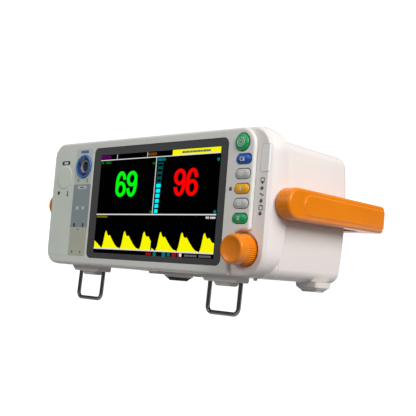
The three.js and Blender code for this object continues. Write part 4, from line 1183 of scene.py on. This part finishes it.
def add_display():
    left, right, bottom, top = SCREEN["left"], SCREEN["right"], SCREEN["bottom"], SCREEN["top"]
    glass = rounded(WINDOW["left"], WINDOW["bottom"], WINDOW["right"], WINDOW["top"], WINDOW["radius"])
    piece(
        "cover_glass", slab([glass], WINDOW["front"], WINDOW["back"], 0.25), GLASS, "case",
        ["display_window"])
    dark = slab([box_outline(left, bottom, right, top)], WINDOW["front"] - 0.03, WINDOW["front"] + 0.02)
    piece("display_area", dark, DARK_SCREEN, "case")
    first_start = -53.9
    beat = 25.95
    pulses = [pulse(first_start), pulse(first_start + beat), pulse(first_start + 2 * beat, 11.9)]
    pulses += [pulse(18.9), pulse(18.9 + beat), pulse(18.9 + 2 * beat, right - 0.4)]
    pulses.append(lit([[(left + 0.4, 16.7), (-55.2, 16.7), (-55.2, 17.8), (left + 0.4, 23.8)]]))
    pulses.append(lit([[(13.4, 16.7), (16.9, 16.7), (16.9, 17.4), (13.4, 19.2)]]))
    yellow_bar = lit_box(30.3, 98.4, 86.5, 103.1)
    caption = lit_glyphs(left + 0.8, 44.9, -49.6, 46.7, (3, 2, 3, 1, 2, 3, 3, 2))
    lines = [
        lit_box(left, 97.8, 86.6, 98.5, 1), lit_box(10.3, 47.9, 11.1, 98, 1),
        lit_box(left, 47.4, 86.4, 48.4, 1),
        lit_box(left, 16.1, 86.6, 17.1, 1), lit_box(-43, 98.4, -42.4, 103), lit_box(-1.9, 98.4, -1.3, 103),
        lit_glyphs(75.2, 44.6, 78.6, 46.4, (2, 1, 2)), lit_glyphs(79.9, 44.6, 85.8, 46.2, (2, 3, 2)),
        lit_box(48, 12.9, 50.6, 15.7),
    ]
    bars = []
    hollow = []
    for step in range(10):
        low = 49.2 + 4.42 * step
        edge = 17.1 + (low - 49.2) * 0.066
        if step < 6:
            bars.append(lit_box(12.9, low, edge, low + 3.2))
        else:
            outline = box_outline(13.2, low + 0.1, edge - 0.3, low + 3.3)
            hollow.append(lit(ribbon(outline, 0.9, closed=True)))
    teal = [
        lit_glyphs(12.6, 94.4, 22.2, 96.8, (3, 3, 2, 3)), lit([circle(84.5, 92.8, 1.5, 20)]),
        lit([circle(84.5, 50.2, 1.5, 20)]), lit([circle(17.6, 14, 2.0, 20)]), lit([circle(29, 14, 2.3, 20)]),
        lit_box(33.4, 12.8, 36.6, 15.4),
    ]
    leaf = [
        lit_glyphs(-64.2, 94.8, -61.2, 96.8, (2,)), lit_glyphs(-58.2, 94.8, -50.8, 96.8, (3, 2, 3)),
        lit_glyphs(6.2, 91.8, 9.4, 93.6, (2, 2)), lit_glyphs(6.8, 49.6, 9.6, 51.2, (2, 2)),
    ]
    red = [
        lit_glyphs(6.6, 13.0, 13.2, 15.0, (3, 2, 3)), lit_box(38.8, 12.8, 44.0, 15.7),
        lit_box(45.4, 12.9, 47.8, 15.7),
    ]
    grey = [
        lit_glyphs(54, 13.2, 68, 14.9, (2, 2, 2, 1, 2, 2, 1, 2, 2)),
        lit_glyphs(70.5, 13.2, 84, 14.9, (2, 2, 1, 2, 2, 1, 2, 2)),
    ]
    sets = {
        "lit_pulse_wave": (GLOW_YELLOW, [*pulses, yellow_bar]),
        "lit_caption": (GLOW_OLIVE, [caption]),
        "lit_lines": (GLOW_WHITE, lines),
        "lit_rate": (GLOW_GREEN, [numeral_six(-34.3, 75.4), numeral_six(-19.6, 75.4, True)]),
        "lit_oxygen": (GLOW_RED, [numeral_six(41.6, 75.1, True), numeral_six(56.4, 75.1)]),
        "lit_red_marks": (GLOW_DARK_RED, red),
        "lit_bars": (GLOW_CYAN, bars),
        "lit_hollow_bars": (GLOW_TEAL, hollow),
        "lit_teal_marks": (GLOW_TEAL_MARK, teal),
        "lit_green_marks": (GLOW_LEAF, leaf),
        "lit_purple_mark": (GLOW_PURPLE, [lit_glyphs(left + 0.5, 99.9, -51.6, 102.4, (3, 3, 2, 3, 2))]),
        "lit_amber_mark": (GLOW_AMBER, [lit_glyphs(-1.0, 99.8, 10.2, 102.2, (3, 2, 3, 3))]),
        "lit_grey_marks": (GLOW_GREY, grey),
    }
    for name, (look, shapes) in sets.items():
        piece(name, joined(*shapes), look, "case")
    notice = lit_glyphs(42, 99.8, 75, 101.6, (3, 2, 3, 1, 2, 1, 3, 2, 3, 2, 1, 3, 3, 2), 2)
    piece("notice_print", notice, ICON_SOFT, "case")


# ---- Underside: mounting plate and battery cover ----
def add_underside_and_back():
    front, back, bottom, half = MOUNT["front"], MOUNT["back"], MOUNT["bottom"], MOUNT["half"]
    outline = rounded(-half, front, half, back, 5)
    holes = [circle(side * MOUNT["screw_x"], y, 3.6, 32) for side in (-1, 1) for y in MOUNT["screw_y"]]
    plate = slab([outline, *holes], bottom, -0.3, 0.5)
    lie_flat(plate)
    floor = slab([rounded(-half + 1, front + 1, half - 1, back - 1, 4)], bottom + 1.1, -0.35)
    lie_flat(floor)
    piece("mounting_plate", joined(plate, floor), CASE_WHITE, "case", ["mount_plate"])
    left, right, near, far = DOOR["left"], DOOR["right"], DOOR["front"], DOOR["back"]
    door = slab([rounded(left, near, right, far, 1.5)], 0.05, DOOR["thick"], 0.35)
    lie_flat(door)
    ribs = []
    for step in range(5):
        y = far - 9 + 1.7 * step
        rib = slab([oval((left + right) / 2, y, 20, 0.9, 6)], -0.35, 0.4, 0.15)
        lie_flat(rib)
        ribs.append(rib)
    piece("battery_cover", joined(door, *ribs), CASE_WHITE, "case", ["battery_door"])


def lie_flat(mesh):
    """Turns a slab drawn as if facing the front so that its outline runs in X and Y, and its depth in Z."""
    for vertex in mesh.vertices:
        x, y, z = vertex.co
        vertex.co = (x, z, y)
    cleaned(mesh)


# ---- Room, light and camera ----
CAMERA = {"place": (0.52886, -0.52271, 0.17461), "aim": (0.00322, 0.01656, 0.07173), "roll": 7.7818}
LENS_MM = 70.18
ROOM = 6.0
FLOOR_DROP = 0.0002
SKY = {"below": 0.08, "above": 0.42}
STAGE_GLOW = {"floor": 1.0, "table": 1.0, "backdrop": 1.0}


def add_camera():
    data = bpy.data.cameras.new("camera")
    data.lens = LENS_MM
    data.sensor_width = 36
    data.clip_start = 0.01
    thing = bpy.data.objects.new("camera", data)
    bpy.context.scene.collection.objects.link(thing)
    place, aim = Vector(CAMERA["place"]), Vector(CAMERA["aim"])
    level = (aim - place).to_track_quat("-Z", "Y")
    tilt = Matrix.Rotation(math.radians(-CAMERA["roll"]), 4, "Z")
    thing.matrix_world = Matrix.Translation(place) @ level.to_matrix().to_4x4() @ tilt
    bpy.context.scene.camera = thing


def add_light(name, place, size, power, colour=(1, 1, 1), aim=(0, 0, 0.07)):
    data = bpy.data.lights.new(name, "AREA")
    data.shape = "RECTANGLE"
    data.size, data.size_y = size
    data.energy = power
    data.color = colour
    thing = bpy.data.objects.new(name, data)
    bpy.context.scene.collection.objects.link(thing)
    direction = Vector(aim) - Vector(place)
    thing.matrix_world = Matrix.Translation(place) @ direction.to_track_quat("-Z", "Y").to_matrix().to_4x4()


def sky():
    """Soft studio surroundings: bright above, dim below."""
    world = bpy.data.worlds.new("studio")
    world.use_nodes = True
    nodes, links = world.node_tree.nodes, world.node_tree.links
    place = nodes.new("ShaderNodeTexCoord")
    split = nodes.new("ShaderNodeSeparateXYZ")
    spread = nodes.new("ShaderNodeMapRange")
    spread.inputs["From Min"].default_value = -0.1
    spread.inputs["From Max"].default_value = 0.5
    spread.inputs["To Min"].default_value = SKY["below"]
    spread.inputs["To Max"].default_value = SKY["above"]
    links.new(place.outputs["Generated"], split.inputs["Vector"])
    links.new(split.outputs["Z"], spread.inputs["Value"])
    links.new(spread.outputs["Result"], nodes["Background"].inputs["Strength"])
    nodes["Background"].inputs["Color"].default_value = (1, 1, 1, 1)
    bpy.context.scene.world = world


def add_stage(name, mesh):
    """A white studio surface that throws no diffuse light. Only the table top shows in glossy surfaces."""
    look = surface(name, (0.3, 0.3, 0.3), 0.7, spread=0.005, drift=3, grain=60, bump=0.01)
    shader = look.node_tree.nodes["Principled BSDF"]
    shader.inputs["Emission Color"].default_value = (1, 1, 1, 1)
    shader.inputs["Emission Strength"].default_value = STAGE_GLOW[name]
    mesh.materials.append(look)
    thing = bpy.data.objects.new(name, mesh)
    bpy.context.scene.collection.objects.link(thing)
    thing.visible_diffuse = False
    thing.visible_glossy = name == "table"
    thing.visible_transmission = False
    thing.visible_shadow = False


def add_room():
    sky()
    bpy.context.scene.view_settings.view_transform = "Standard"
    size = ROOM
    low = -FLOOR_DROP
    corners = [(-size, -size, low), (size, -size, low), (size, size, low), (-size, size, low)]
    floor = bpy.data.meshes.new("floor")
    floor.from_pydata(corners, [], [(0, 1, 2, 3)])
    add_stage("floor", floor)
    table = bpy.data.meshes.new("table")
    rim = [(x * MM, 0.03 + y * MM, 0) for x, y in circle(0, 0, 330, 64)]
    table.from_pydata(rim, [], [tuple(range(len(rim)))])
    add_stage("table", table)
    work = bmesh.new()
    bmesh.ops.create_icosphere(work, subdivisions=4, radius=2 * size)
    backdrop = bpy.data.meshes.new("backdrop")
    work.to_mesh(backdrop)
    work.free()
    add_stage("backdrop", backdrop)
    add_light("key", (1.3, -0.04, 0.85), (0.9, 0.9), 19.5, (1.0, 0.965, 0.95))
    add_light("fill", (-0.6, -1.2, 1.3), (0.6, 0.6), 5.5)


def add_case():
    piece("plate", front_plate(), PLATE_GREY, "case", ["front_plate"])
    piece("collar", front_housing(), CASE_WHITE, "case", ["front_housing"])
    piece("rear_case", rear_housing(), CASE_WHITE, "case", ["rear_housing"])


def build():
    add_camera()
    add_room()
    dress_cad_nodes()
    add_case()
    add_display()
    add_labels()
    add_socket()
    add_keys()
    add_strip()
    piece("turn_knob", knob(), ORANGE, "knob", ["encoder_knob"], sharp=40)
    piece("handle", carry_handle(), ORANGE, "handle", ["carry_handle"], sharp=40)
    add_stands_and_feet()
    add_underside_and_back()


build()
